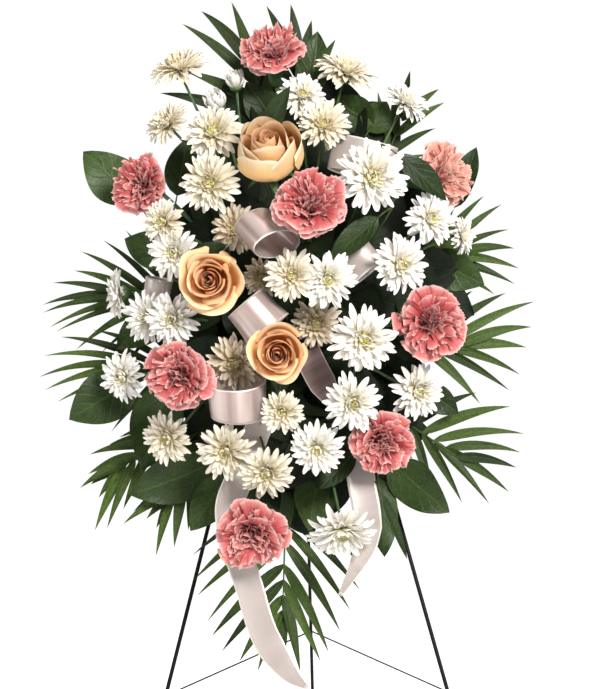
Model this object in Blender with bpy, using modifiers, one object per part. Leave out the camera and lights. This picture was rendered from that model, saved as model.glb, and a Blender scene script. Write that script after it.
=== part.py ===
"""Standing funeral spray: cut flowers, foliage and ribbon in a caged foam block on a folding wire easel.

Units are metres, +Z is up and the viewer stands at -Y. The origin is on the floor, midway between the
front feet and the back foot. The easel's hinge bar crosses the point (0, HINGE_Y, HINGE_Z).
"""

import math

import bmesh
import bpy
from mathutils import Matrix, Vector

GAP = 0.0003

# ---------------------------------------------------------------- easel
HINGE_Z = 1.13
FRONT_LEAN = math.radians(12.0)
BACK_LEAN = math.radians(22.0)
HINGE_Y = -HINGE_Z * (math.tan(BACK_LEAN) - math.tan(FRONT_LEAN)) / 2
TOP_HALF_WIDTH = 0.008
FOOT_HALF_WIDTH = 0.310
LEG_RADIUS = 0.0021
BACK_LEG_RADIUS = 0.0018
HINGE_BAR_HALF = 0.014
HINGE_EYE_CLEARANCE = 0.0004
CROSSBAR_RADIUS = 0.0016
CROSSBAR_OVERHANG = 0.006
BRACE_Z = 0.622
BRACE_RADIUS = 0.0009
BRACE_EYE_MAJOR = 0.0023
BRACE_EYE_MINOR = 0.0008
BRACE_BEND_RADIUS = 0.0036
BRACE_STUB = 0.006

# ---------------------------------------------------------------- flower holder
# Spray coordinates: u to the right, v up along the easel's front, w out of it towards the viewer.
SPRAY_Z = 0.96
CROSSBAR_W = LEG_RADIUS + CROSSBAR_RADIUS + GAP
TRAY_BACK_W = CROSSBAR_W + CROSSBAR_RADIUS + GAP
TRAY_WALL = 0.0018
FOAM_HALF_U = 0.055
FOAM_HALF_V = 0.115
FOAM_BACK_W = TRAY_BACK_W + TRAY_WALL + GAP
FOAM_DEPTH = 0.070
FOAM_FRONT_W = FOAM_BACK_W + FOAM_DEPTH
TRAY_LIP = 0.005
STRAP_V = 0.062
STRAP_HALF_WIDTH = 0.002
STRAP_THICKNESS = 0.0016
FLANGE_HALF_WIDTH = 0.016
FLANGE_REACH = 0.030
TIE_RADIUS = 0.0008
TIE_CORNER = 0.0016
TIE_OVERHANG = 0.0026
CROSSBAR_V = FOAM_HALF_V + 0.019
SLOT_V = CROSSBAR_V - 0.0048
SLOT_HALF_WIDTH = 0.003
SLOT_HALF_HEIGHT = 0.0022
JOIN = 0.001
RIBS_U = (-0.036, 0.0, 0.036)
RIBS_V = (-0.078, -0.026, 0.026, 0.078)
RIB_HALF = 0.0009
RIB_HEIGHT = 0.0014
RIB_INSET = 0.004
CROSSING_STEP = 0.0002
PICK_U = 0.010
PICK_V = -0.022
PICK_REACH = 0.024
PICK_RADIUS = 0.0010
PICK_HOLE_RADIUS = 0.0018
STEM_DEPTH = 0.014
FLOWER_SIDE_W = 0.056
STEM_LAYER_W = 0.070
STEM_CLEARANCE = 0.0006
STEM_MOUTH = 0.005

# ---------------------------------------------------------------- flowers
# Each head is swept along its facing axis. Profiles give (place along the axis, radius), both as parts of
# the head's radius, from the calyx to the front.
HEAD_SCALE = 0.92
PROFILES = {
    "carnation": ((-0.98, 0.15), (-0.50, 0.22), (-0.20, 0.80), (0.02, 1.00), (0.28, 0.82), (0.46, 0.35)),
    "rose": ((-0.86, 0.12), (-0.66, 0.50), (-0.20, 0.92), (0.10, 1.00), (0.42, 0.72), (0.52, 0.30)),
    "mum": ((-0.46, 0.12), (-0.30, 0.42), (-0.02, 1.00), (0.14, 0.88), (0.30, 0.34)),
    "bud": ((-0.90, 0.20), (-0.45, 0.80), (0.10, 1.00), (0.70, 0.60)),
}
STEM_RADII = {"carnation": 0.0022, "rose": 0.0030, "mum": 0.0014, "bud": 0.0012}
MUM_STEM_RADIUS = 0.0022
SIDES = {"carnation": 3, "rose": 3, "mum": 2, "bud": 2}

# Head centre (x, y from the hinge, z), the sideways and upward parts of its facing direction, diameter.
CARNATIONS = (
    ((-0.023, -0.060, 1.268), (-0.05, 0.75), 0.072),
    ((-0.154, -0.105, 1.139), (-0.45, 0.25), 0.066),
    ((0.015, -0.212, 1.118), (0.05, 0.52), 0.077),
    ((0.143, -0.100, 1.144), (0.74, 0.20), 0.074),
    ((0.127, -0.170, 1.002), (0.30, 0.05), 0.079),
    ((-0.115, -0.190, 0.957), (-0.30, 0.00), 0.074),
    ((0.078, -0.178, 0.888), (0.20, -0.20), 0.074),
    ((-0.049, -0.200, 0.803), (-0.05, -0.35), 0.078),
)
ROSES = (
    ((-0.026, -0.165, 1.168), (-0.06, 0.70), 0.074),
    ((-0.084, -0.200, 1.050), (-0.10, 0.05), 0.068),
    ((-0.020, -0.212, 0.979), (0.00, -0.05), 0.062),
)
# Each spray is one branching stem: its heads as above, with the kind of head first.
MUM_SPRAYS = (
    (("mum", (-0.120, -0.050, 1.260), (-0.25, 0.86), 0.062),
     ("bud", (-0.062, -0.060, 1.243), (-0.10, 0.90), 0.024),
     ("bud", (-0.081, -0.075, 1.222), (-0.30, 0.80), 0.026),
     ("mum", (-0.132, -0.085, 1.203), (-0.50, 0.65), 0.052),
     ("mum", (-0.082, -0.130, 1.193), (-0.15, 0.50), 0.062)),
    (("mum", (0.007, -0.105, 1.228), (0.15, 0.55), 0.050),
     ("mum", (0.051, -0.060, 1.253), (0.25, 0.86), 0.062),
     ("mum", (0.028, -0.140, 1.198), (0.10, 0.50), 0.055)),
    (("mum", (0.112, -0.055, 1.220), (0.50, 0.75), 0.052),
     ("mum", (0.075, -0.175, 1.146), (0.15, 0.10), 0.072)),
    (("mum", (0.133, -0.145, 1.103), (0.40, 0.10), 0.055),
     ("mum", (0.166, -0.110, 1.084), (0.85, 0.00), 0.040),
     ("mum", (0.102, -0.175, 1.060), (0.35, 0.10), 0.058)),
    (("mum", (-0.133, -0.155, 1.105), (-0.40, 0.20), 0.045),
     ("mum", (-0.122, -0.160, 1.074), (-0.25, 0.00), 0.054),
     ("mum", (-0.085, -0.165, 1.142), (-0.10, 0.15), 0.060)),
    (("mum", (-0.185, -0.095, 1.031), (-0.95, 0.00), 0.052),
     ("mum", (-0.150, -0.150, 1.010), (-0.45, 0.00), 0.054),
     ("mum", (-0.124, -0.175, 1.010), (-0.20, 0.00), 0.054)),
    (("mum", (-0.061, -0.145, 1.097), (-0.10, 0.10), 0.050),
     ("mum", (-0.036, -0.148, 1.048), (0.00, 0.10), 0.040)),
    (("mum", (-0.005, -0.205, 1.053), (-0.10, 0.00), 0.052),
     ("mum", (0.030, -0.200, 1.048), (0.15, 0.00), 0.056),
     ("mum", (0.017, -0.165, 1.003), (0.00, 0.00), 0.050)),
    (("mum", (0.064, -0.210, 0.990), (0.15, 0.00), 0.066),
     ("mum", (0.052, -0.214, 0.929), (0.10, -0.10), 0.058),
     ("mum", (0.117, -0.165, 0.934), (0.45, -0.05), 0.058)),
    (("mum", (-0.179, -0.130, 0.950), (-0.50, -0.05), 0.052),
     ("mum", (-0.134, -0.150, 0.889), (-0.40, -0.15), 0.054)),
    (("mum", (-0.063, -0.175, 0.966), (-0.15, 0.00), 0.056),
     ("mum", (-0.017, -0.206, 0.920), (0.00, -0.15), 0.044)),
    (("mum", (-0.074, -0.190, 0.880), (-0.15, -0.20), 0.058),
     ("mum", (-0.033, -0.205, 0.860), (-0.05, -0.35), 0.055)),
    (("mum", (0.016, -0.205, 0.883), (0.05, -0.25), 0.055),
     ("mum", (0.040, -0.168, 0.797), (0.10, -0.62), 0.068)),
)

# ---------------------------------------------------------------- foliage
LEAF_THICKNESS = 0.0010
FROND_THICKNESS = 0.0014
FROND_SPINE = 0.0036
FROND_STEM_RADIUS = 0.0019
FROND_BARE_LENGTH = 0.040
FROND_LEAFLETS = 8
LEAFLET_FIRST_ANGLE = math.radians(62.0)
LEAFLET_LAST_ANGLE = math.radians(24.0)
LEAFLET_BELLY = 0.0035
# A leaflet reaches the least share of the frond's half width plus its swell, and is longest mid-frond.
LEAFLET_LEAST_REACH = 0.62
LEAFLET_SWELL = 0.75
LEAFLET_SWELL_START = 0.18
LEAFLET_SWELL_RUN = 0.62
LEAFLET_TIP_SHIFT = 0.3
LEAFLET_ROOT_SHARE = 0.55
# Palm fronds: tip (x, z), half width of the spread, layer (depth at the foam, w).
FRONDS = (
    ((0.006, 1.312), 0.060, 0.0190),
    ((-0.078, 1.308), 0.065, 0.0260),
    ((0.127, 1.240), 0.055, 0.0260),
    ((-0.247, 1.029), 0.060, 0.0190),
    ((-0.248, 0.935), 0.055, 0.0260),
    ((-0.221, 0.822), 0.060, 0.0190),
    ((-0.143, 0.770), 0.060, 0.0260),
    ((-0.021, 0.653), 0.085, 0.0190),
    ((0.196, 0.836), 0.068, 0.0260),
    ((0.228, 0.955), 0.060, 0.0190),
    ((0.232, 1.060), 0.060, 0.0260),
)
FROND_CURL = 0.020
FROND_CURL_REACH = 0.30
# Leaf sprigs: for each leaf its base (x, z), tip (x, z) and width.
SPRIGS = (
    (((-0.165, 1.118), (-0.217, 1.172), 0.046), ((-0.124, 1.125), (-0.112, 1.183), 0.032)),
    (((-0.020, 1.190), (-0.050, 1.240), 0.034), ((0.012, 1.222), (0.024, 1.288), 0.032)),
    (((0.078, 1.192), (0.034, 1.220), 0.034), ((0.072, 1.186), (0.092, 1.216), 0.026)),
    (((0.158, 1.108), (0.184, 1.168), 0.026), ((0.130, 1.060), (0.186, 1.028), 0.038)),
    (((-0.130, 1.060), (-0.178, 1.083), 0.036), ((-0.140, 1.005), (-0.188, 0.975), 0.034)),
    (((-0.170, 0.942), (-0.234, 0.900), 0.048), ((-0.135, 0.935), (-0.164, 0.852), 0.048)),
    (((-0.090, 0.858), (-0.172, 0.824), 0.046), ((-0.078, 0.845), (-0.112, 0.790), 0.034)),
    (((0.016, 0.848), (0.006, 0.788), 0.040), ((0.076, 0.840), (0.080, 0.762), 0.032),
     ((-0.020, 0.832), (-0.026, 0.778), 0.030)),
    (((0.088, 0.856), (0.147, 0.806), 0.042), ((0.140, 0.935), (0.190, 0.905), 0.034)),
)
LEAF_W = 0.040
LEAF_LAYER_STEP = 0.005
LEAF_RISE = 0.08
LEAF_RISE_START = 0.07
PETIOLE_RADIUS = 0.0009
PETIOLE_RUN = 0.012
TWIG_RADIUS = 0.00135
TWIG_STUB = 0.002
FORK_SHARE = 0.35
FORK_STEP = 0.0012

# ---------------------------------------------------------------- ribbon
RIBBON_WIDTH = 0.036
RIBBON_THICKNESS = 0.0008
KNOT = (0.010, -0.150, 0.965)
KNOT_RADIUS = 0.006
LOOP_STEM_RADIUS = 0.0010
LOOP_STEPS = 12
# Bow loops: centre (x, y from the hinge, z), width direction, long direction, half length, half depth.
LOOPS = (
    ((-0.025, -0.194, 1.086), (0.50, -0.45, -0.50), (-0.75, 0.00, 0.50), 0.026, 0.016),
    ((-0.040, -0.185, 1.012), (0.64, -0.10, -0.77), (0.78, 0.10, 0.62), 0.022, 0.015),
    ((-0.060, -0.184, 0.932), (0.00, 0.10, 1.00), (1.00, 0.00, 0.00), 0.027, 0.024),
    ((0.064, -0.142, 1.062), (0.60, -0.20, -0.75), (0.75, 0.10, 0.60), 0.020, 0.010),
)
# Tails: points (x, y from the hinge, z) down the middle of the band, with the width's direction (x, y, z).
TAIL_WIDTH = 0.028
LEFT_TAIL = (
    ((-0.061, -0.160, 0.852), (1.0, 0.1, 0.1)),
    ((-0.072, -0.166, 0.822), (1.0, 0.1, 0.1)),
    ((-0.068, -0.166, 0.788), (1.0, 0.0, 0.1)),
    ((-0.054, -0.172, 0.745), (1.0, 0.0, 0.1)),
    ((-0.040, -0.184, 0.700), (1.0, 0.0, 0.3)),
    ((-0.018, -0.198, 0.664), (0.8, 0.0, 0.6)),
    ((0.000, -0.205, 0.646), (0.6, 0.0, 0.8)),
)
RIGHT_TAIL = (
    ((0.056, -0.160, 0.862), (1.0, 0.0, 0.0)),
    ((0.061, -0.176, 0.838), (1.0, 0.0, 0.0)),
    ((0.064, -0.193, 0.812), (1.0, 0.1, -0.1)),
    ((0.062, -0.199, 0.775), (1.0, 0.2, 0.0)),
    ((0.054, -0.198, 0.745), (0.9, 0.1, 0.4)),
    ((0.042, -0.196, 0.726), (0.8, 0.0, 0.6)),
)

BLACK = ("easel_black", (0.010, 0.010, 0.011), 0.35, 0.6)
FOAM = ("foam_green", (0.055, 0.13, 0.06), 0.95, 0.0)
CAGE = ("cage_green", (0.02, 0.10, 0.035), 0.45, 0.0)
WIRE = ("tie_green", (0.03, 0.09, 0.03), 0.5, 0.2)
WOOD = ("pick_green", (0.08, 0.17, 0.06), 0.8, 0.0)
CORAL = ("carnation_coral", (0.72, 0.19, 0.18), 0.7, 0.0)
PEACH = ("rose_peach", (0.93, 0.58, 0.30), 0.6, 0.0)
WHITE = ("mum_white", (0.93, 0.90, 0.82), 0.7, 0.0)
PALM = ("palm_green", (0.05, 0.13, 0.03), 0.5, 0.0)
LEAF = ("leaf_green", (0.03, 0.09, 0.025), 0.35, 0.0)
SATIN = ("ribbon_pink", (0.85, 0.68, 0.62), 0.3, 0.0)

stem_holes = []


# ================================================================ helpers
def clear_scene():
    for obj in list(bpy.data.objects):
        bpy.data.objects.remove(obj, do_unlink=True)


def new_collection(name):
    collection = bpy.data.collections.new(name)
    bpy.context.scene.collection.children.link(collection)
    return collection


def material(spec):
    name, colour, roughness, metallic = spec
    found = bpy.data.materials.get(name)
    if found:
        return found
    made = bpy.data.materials.new(name)
    made.use_nodes = True
    shader = made.node_tree.nodes["Principled BSDF"]
    shader.inputs["Base Color"].default_value = (*colour, 1.0)
    shader.inputs["Roughness"].default_value = roughness
    shader.inputs["Metallic"].default_value = metallic
    return made


def add_mesh(name, mesh, spec, place=None, smooth=True):
    obj = bpy.data.objects.new(name, mesh)
    obj.matrix_world = place or Matrix()
    parts.objects.link(obj)
    mesh.materials.clear()
    mesh.materials.append(material(spec))
    if smooth:
        mesh.shade_smooth()
        mesh.set_sharp_from_angle(angle=math.radians(40))
    return obj


def weld(mesh):
    work = bmesh.new()
    work.from_mesh(mesh)
    bmesh.ops.remove_doubles(work, verts=work.verts, dist=1e-6)
    bmesh.ops.recalc_face_normals(work, faces=work.faces)
    work.to_mesh(mesh)
    work.free()


def curve_to_mesh(curve):
    """Turn a curve into a welded mesh and remove the curve."""
    guide = bpy.data.objects.new("guide", curve)
    cutters.objects.link(guide)
    graph = bpy.context.evaluated_depsgraph_get()
    mesh = bpy.data.meshes.new_from_object(guide.evaluated_get(graph))
    bpy.data.objects.remove(guide, do_unlink=True)
    bpy.data.curves.remove(curve)
    weld(mesh)
    return mesh


def tube_mesh(points, radius, radii=None, resolution=2, cyclic=False):
    """A round wire or stem along points; radii scale the radius at each point."""
    curve = bpy.data.curves.new("tube", "CURVE")
    curve.dimensions = "3D"
    curve.bevel_depth = radius
    curve.bevel_resolution = resolution
    curve.use_fill_caps = True
    spline = curve.splines.new("POLY")
    spline.points.add(len(points) - 1)
    for index, (knot, point) in enumerate(zip(spline.points, points)):
        knot.co = (*point, 1.0)
        knot.radius = radii[index] if radii else 1.0
    spline.use_cyclic_u = cyclic
    return curve_to_mesh(curve)


def outline_mesh(points, thickness):
    """A flat plate with the given outline, centred on its own plane."""
    curve = bpy.data.curves.new("outline", "CURVE")
    curve.dimensions = "2D"
    curve.fill_mode = "BOTH"
    curve.extrude = thickness / 2
    spline = curve.splines.new("POLY")
    spline.points.add(len(points) - 1)
    for knot, point in zip(spline.points, points):
        knot.co = (point[0], point[1], 0.0, 1.0)
    spline.use_cyclic_u = True
    return curve_to_mesh(curve)


def box_mesh(low, high):
    work = bmesh.new()
    size = Vector(high) - Vector(low)
    middle = (Vector(high) + Vector(low)) / 2
    bmesh.ops.create_cube(work, size=1.0, matrix=Matrix.Translation(middle) @ Matrix.Diagonal((*size, 1.0)))
    mesh = bpy.data.meshes.new("box")
    work.to_mesh(mesh)
    work.free()
    return mesh


def rod_mesh(start, end, radius, sides):
    """A straight closed prism from start to end."""
    along = Vector(end) - Vector(start)
    turn = along.to_track_quat("Z", "Y").to_matrix().to_4x4()
    middle = (Vector(start) + Vector(end)) / 2
    work = bmesh.new()
    bmesh.ops.create_cone(work, cap_ends=True, segments=sides, radius1=radius, radius2=radius,
                          depth=along.length, matrix=Matrix.Translation(middle) @ turn)
    mesh = bpy.data.meshes.new("rod")
    work.to_mesh(mesh)
    work.free()
    return mesh


def ring_mesh(major, minor, segments=14, sides=8):
    """A ring round the X axis."""
    points = [(0.0, major * math.cos(turn), major * math.sin(turn))
              for turn in (2 * math.pi * step / segments for step in range(segments))]
    resolution = (sides - 4) // 2
    return tube_mesh(points, minor, resolution=resolution, cyclic=True)


def combine(obj, meshes, operation):
    """Join meshes to obj, or cut them from it, and keep the result as its mesh."""
    for mesh in meshes:
        tool = bpy.data.objects.new("tool", mesh)
        cutters.objects.link(tool)
        tool.hide_render = True
        tool.display_type = "WIRE"
        tool.matrix_world = obj.matrix_world
        step = obj.modifiers.new("step", "BOOLEAN")
        step.operation = operation
        step.solver = "EXACT"
        step.object = tool
        bpy.context.view_layer.update()
        graph = bpy.context.evaluated_depsgraph_get()
        result = bpy.data.meshes.new_from_object(obj.evaluated_get(graph))
        obj.modifiers.clear()
        obj.data = result
        bpy.data.objects.remove(tool, do_unlink=True)
    obj.data.shade_smooth()
    obj.data.set_sharp_from_angle(angle=math.radians(40))


# ================================================================ spray coordinates
HINGE = Vector((0.0, HINGE_Y, HINGE_Z))
OUT = Vector((0.0, -math.cos(FRONT_LEAN), math.sin(FRONT_LEAN)))
UP = Vector((0.0, math.sin(FRONT_LEAN), math.cos(FRONT_LEAN)))
SPRAY_ORIGIN = HINGE - UP * (HINGE_Z - SPRAY_Z) / math.cos(FRONT_LEAN)
SPRAY_FRAME = Matrix.Translation(SPRAY_ORIGIN) @ Matrix((
    (1.0, 0.0, 0.0, 0.0),
    (0.0, UP.y, OUT.y, 0.0),
    (0.0, UP.z, OUT.z, 0.0),
    (0.0, 0.0, 0.0, 1.0)))


def from_spray(u, v, w):
    return SPRAY_FRAME @ Vector((u, v, w))


def to_spray(point):
    return SPRAY_FRAME.inverted() @ Vector(point)


def on_front_plane(x, z, w):
    """The point at height z and sideways place x that stands w out of the easel's front plane."""
    v = (z - SPRAY_ORIGIN.z - w * OUT.z) / UP.z
    return Vector((x, v, w))


def spray_plate(mesh, name, spec):
    return add_mesh(name, mesh, spec, SPRAY_FRAME.copy())


# ================================================================ easel
def front_leg(name, side):
    top = HINGE + Vector((side * TOP_HALF_WIDTH, 0.0, -LEG_RADIUS * 2 - GAP))
    foot = Vector((side * FOOT_HALF_WIDTH, HINGE_Y - HINGE_Z * math.tan(FRONT_LEAN), 0.0))
    beyond = foot + (foot - top).normalized() * 0.02
    leg = add_mesh(name, tube_mesh([top, beyond], LEG_RADIUS, resolution=3), BLACK)
    ring = ring_mesh(BRACE_EYE_MAJOR, BRACE_EYE_MINOR)
    ring.transform(Matrix.Translation(brace_eye(side)))
    combine(leg, [ring], "UNION")
    cut_flat_on_floor(leg)
    return leg


def cut_flat_on_floor(obj):
    work = bmesh.new()
    work.from_mesh(obj.data)
    work.transform(obj.matrix_world)
    geometry = work.verts[:] + work.edges[:] + work.faces[:]
    bmesh.ops.bisect_plane(work, geom=geometry, plane_co=(0, 0, 0), plane_no=(0, 0, 1), clear_inner=True)
    open_edges = [edge for edge in work.edges if edge.is_boundary]
    bmesh.ops.holes_fill(work, edges=open_edges)
    bmesh.ops.recalc_face_normals(work, faces=work.faces)
    work.transform(obj.matrix_world.inverted())
    work.to_mesh(obj.data)
    work.free()


def front_leg_at(z, side):
    down = (HINGE_Z - z)
    half = TOP_HALF_WIDTH + (FOOT_HALF_WIDTH - TOP_HALF_WIDTH) * down / HINGE_Z
    return Vector((side * half, HINGE_Y - down * math.tan(FRONT_LEAN), z))


def brace_eye(side):
    return front_leg_at(BRACE_Z, side) + Vector((0.0, LEG_RADIUS + BRACE_EYE_MAJOR - 0.0002, 0.0))


def hinge_bar():
    ends = [HINGE - Vector((HINGE_BAR_HALF, 0, 0)), HINGE + Vector((HINGE_BAR_HALF, 0, 0))]
    add_mesh("hinge_bar", tube_mesh(ends, LEG_RADIUS, resolution=3), BLACK)


def back_leg():
    """A ring eye round the hinge bar with the leg below it; its origin is on the hinge axis."""
    eye_major = LEG_RADIUS + HINGE_EYE_CLEARANCE + BACK_LEG_RADIUS
    down = Vector((0.0, math.sin(BACK_LEAN), -math.cos(BACK_LEAN)))
    length = HINGE_Z / math.cos(BACK_LEAN) + 0.02
    place = Matrix.Translation(HINGE)
    leg = add_mesh("back_leg", ring_mesh(eye_major, BACK_LEG_RADIUS, 16), BLACK, place)
    combine(leg, [tube_mesh([down * eye_major, down * length], BACK_LEG_RADIUS, resolution=2)], "UNION")
    cut_flat_on_floor(leg)


def crossbar(name, v):
    z = from_spray(0.0, v, 0.0).z
    half = front_leg_at(z, 1).x + CROSSBAR_OVERHANG
    rod = tube_mesh([(-half, v, CROSSBAR_W), (half, v, CROSSBAR_W)], CROSSBAR_RADIUS, resolution=2)
    spray_plate(rod, name, BLACK)


def brace():
    """One V-shaped wire: its ends turn in the front legs' eyes and its bend passes behind the back leg."""
    eye = brace_eye(1)
    back_y = HINGE_Y + (HINGE_Z - BRACE_Z) * math.tan(BACK_LEAN)
    place = Matrix.Translation((0.0, eye.y, BRACE_Z))
    reach = back_y - eye.y
    arm = [(eye.x + BRACE_STUB, 0.0), (eye.x + BRACE_STUB - 0.0015, 0.0), (eye.x - 0.0045, 0.0)]
    bend = [(BRACE_BEND_RADIUS * math.cos(turn), reach + BRACE_BEND_RADIUS * math.sin(turn))
            for turn in (math.radians(angle) for angle in (0, 30, 60, 90))]
    right = arm + bend
    points = [(x, y, 0.0) for x, y in right] + [(-x, y, 0.0) for x, y in reversed(right[:-1])]
    radii = [1.7, 1.0] + [1.0] * (len(points) - 4) + [1.0, 1.7]
    add_mesh("brace", tube_mesh(points, BRACE_RADIUS, radii, resolution=2), BLACK, place)


def easel():
    front_leg("left_front_leg", -1)
    front_leg("right_front_leg", 1)
    hinge_bar()
    back_leg()
    crossbar("upper_crossbar", CROSSBAR_V)
    crossbar("lower_crossbar", -CROSSBAR_V)
    brace()


# ================================================================ flower holder
def foam_block():
    """The foam brick with a blind hole for each stem pushed into it."""
    low = (-FOAM_HALF_U, -FOAM_HALF_V, FOAM_BACK_W)
    high = (FOAM_HALF_U, FOAM_HALF_V, FOAM_FRONT_W)
    foam = spray_plate(box_mesh(low, high), "foam_block", FOAM)
    holes = []
    for start, end, radius in stem_holes:
        along = (end - start).normalized()
        holes.append(rod_mesh(start - along * STEM_MOUTH, end + along * STEM_CLEARANCE, radius, 6))
    combine(foam, holes, "DIFFERENCE")


def tray():
    """The cage: a ribbed open tray behind the foam, a slotted flange above and below, and two straps."""
    inner_u = FOAM_HALF_U + GAP
    inner_v = FOAM_HALF_V + GAP
    outer_u = inner_u + TRAY_WALL
    outer_v = inner_v + TRAY_WALL
    rim_w = FOAM_BACK_W + TRAY_LIP
    floor_w = FOAM_BACK_W - GAP
    shell = box_mesh((-outer_u, -outer_v, TRAY_BACK_W), (outer_u, outer_v, rim_w))
    body = spray_plate(shell, "cage_tray", CAGE)
    combine(body, [box_mesh((-inner_u, -inner_v, floor_w), (inner_u, inner_v, FOAM_FRONT_W))], "DIFFERENCE")
    added = []
    for side in (-1, 1):
        ends = sorted((side * (outer_v - JOIN), side * (outer_v + FLANGE_REACH)))
        added.append(box_mesh((-FLANGE_HALF_WIDTH, ends[0], TRAY_BACK_W),
                              (FLANGE_HALF_WIDTH, ends[1], TRAY_BACK_W + TRAY_WALL)))
    rib_low = TRAY_BACK_W - RIB_HEIGHT
    rib_high = TRAY_BACK_W + TRAY_WALL / 2
    for u in RIBS_U:
        added.append(box_mesh((u - RIB_HALF, -outer_v + RIB_INSET, rib_low),
                              (u + RIB_HALF, outer_v - RIB_INSET, rib_high)))
    for v in RIBS_V:
        added.append(box_mesh((-outer_u + RIB_INSET, v - RIB_HALF, rib_low + CROSSING_STEP),
                              (outer_u - RIB_INSET, v + RIB_HALF, rib_high - CROSSING_STEP)))
    added += [strap_mesh(v, inner_u, rim_w) for v in (-STRAP_V, STRAP_V)]
    combine(body, added, "UNION")
    slots = [box_mesh((-SLOT_HALF_WIDTH, side * SLOT_V - SLOT_HALF_HEIGHT, 0.0),
                      (SLOT_HALF_WIDTH, side * SLOT_V + SLOT_HALF_HEIGHT, rim_w)) for side in (-1, 1)]
    combine(body, slots, "DIFFERENCE")


def strap_mesh(v, inner_u, rim_w):
    """A flat band from one side of the tray over the foam's front to the other side."""
    outer_u = inner_u + STRAP_THICKNESS
    front = FOAM_FRONT_W + GAP
    low = (-outer_u, v - STRAP_HALF_WIDTH, rim_w - 2 * JOIN)
    high = (outer_u, v + STRAP_HALF_WIDTH, front + STRAP_THICKNESS)
    band = spray_plate(box_mesh(low, high), "strap", CAGE)
    inside = box_mesh((-inner_u, low[1] - STRAP_HALF_WIDTH, 0.0),
                      (inner_u, high[1] + STRAP_HALF_WIDTH, front))
    combine(band, [inside], "DIFFERENCE")
    mesh = band.data
    bpy.data.objects.remove(band, do_unlink=True)
    return mesh


def tie(name, side):
    """A wire loop through the flange's slot that holds it to the crossbar."""
    back = CROSSBAR_W - CROSSBAR_RADIUS - TIE_RADIUS - GAP
    front = TRAY_BACK_W + TRAY_WALL + TIE_RADIUS + GAP
    far = FOAM_HALF_V + FLANGE_REACH + TRAY_WALL + TIE_OVERHANG
    corners = ((SLOT_V, back, 1, 1), (far, back, -1, 1), (far, front, -1, -1), (SLOT_V, front, 1, -1))
    points = []
    for index, (v, w, dv, dw) in enumerate(corners):
        first = (0.0, side * v, w + dw * TIE_CORNER)
        second = (0.0, side * (v + dv * TIE_CORNER), w)
        points += [first, second] if index % 2 == 0 else [second, first]
    spray_plate(tube_mesh(points, TIE_RADIUS, resolution=1, cyclic=True), name, WIRE)


def bow_pick():
    """A wooden pick pushed into the foam's front, with the bow's knot at its head."""
    mouth = Vector((PICK_U, PICK_V, FOAM_FRONT_W))
    inner = mouth - Vector((0.0, 0.0, STEM_DEPTH))
    head = mouth + Vector((0.0, 0.0, PICK_REACH))
    stem_holes.append((mouth, inner, PICK_HOLE_RADIUS))
    ends = [SPRAY_FRAME @ inner, SPRAY_FRAME @ head]
    add_mesh("bow_pick", tube_mesh(ends, PICK_RADIUS, resolution=1), WOOD)


# ================================================================ stems
def foam_entry(target, side_w, radius, straight=False):
    """The inner end and the mouth of a stem aimed at the target; its hole is noted for the foam."""
    aim = to_spray(target)
    focus = Vector((0.0, 0.0, side_w if straight else FOAM_BACK_W))
    ray = aim - focus
    steps = [FOAM_HALF_U / abs(ray.x) if abs(ray.x) > 1e-6 else 9.0,
             FOAM_HALF_V / abs(ray.y) if abs(ray.y) > 1e-6 else 9.0,
             (FOAM_FRONT_W - focus.z) / ray.z if ray.z > 1e-6 else 9.0]
    step = min(steps)
    entry = focus + ray * step
    if step < steps[2]:
        entry.z = min(max(entry.z, side_w), FOAM_FRONT_W - 0.006)
    clear = STRAP_HALF_WIDTH + radius + 0.004
    if abs(abs(entry.y) - STRAP_V) < clear:
        entry.y = math.copysign(STRAP_V + math.copysign(clear, abs(entry.y) - STRAP_V), entry.y)
    heart = focus if straight else focus + Vector((0.0, entry.y * 0.5, 0.02))
    inward = (heart - entry).normalized()
    inner = entry + inward * STEM_DEPTH
    mouth = entry - inward * STEM_MOUTH
    stem_holes.append((entry, inner, (radius + STEM_CLEARANCE) / math.cos(math.pi / 6)))
    return SPRAY_FRAME @ mouth, SPRAY_FRAME @ inner


def arc(start, control, end, steps):
    """Points on the smooth curve from start to end that leans towards control."""
    return [start * (1 - t) ** 2 + control * 2 * t * (1 - t) + end * t ** 2
            for t in (step / steps for step in range(1, steps))]


def lean_point(base, direction, reach):
    """The point behind a head that its stem bends towards, kept in front of the foliage."""
    point = to_spray(base - direction * reach)
    point.z = max(point.z, STEM_LAYER_W)
    return SPRAY_FRAME @ point


def facing(sideways, upward):
    forward = math.sqrt(max(0.0, 1.0 - sideways ** 2 - upward ** 2))
    return Vector((sideways, -forward, upward)).normalized()


def head_centre(place):
    x, y, z = place
    return Vector((x, HINGE_Y + y, z))


def head_points(kind, place, direction, diameter):
    """The head's sweep, from its calyx to its front: points and radii."""
    centre = head_centre(place)
    radius = diameter / 2 * HEAD_SCALE
    profile = PROFILES[kind]
    points = [centre + direction * (along * radius) for along, _ in profile]
    radii = [part * radius for _, part in profile]
    return points, radii


def flower(name, kind, place, lean, diameter, spec):
    """A single flower: one sweep of stem, calyx and head."""
    direction = facing(*lean)
    points, radii = head_points(kind, place, direction, diameter)
    stem = STEM_RADII[kind]
    entry, inner = foam_entry(points[0], FLOWER_SIDE_W, stem)
    drop = (points[0] - entry).length
    control = lean_point(points[0], direction, drop * 0.55)
    path = [inner, entry] + arc(entry, control, points[0], 3) + points
    widths = [stem] * (len(path) - len(points)) + radii
    widths[-len(points)] = max(radii[0], stem)
    mesh = tube_mesh(path, 1.0, widths, resolution=SIDES[kind])
    add_mesh(name, mesh, spec)


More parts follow.
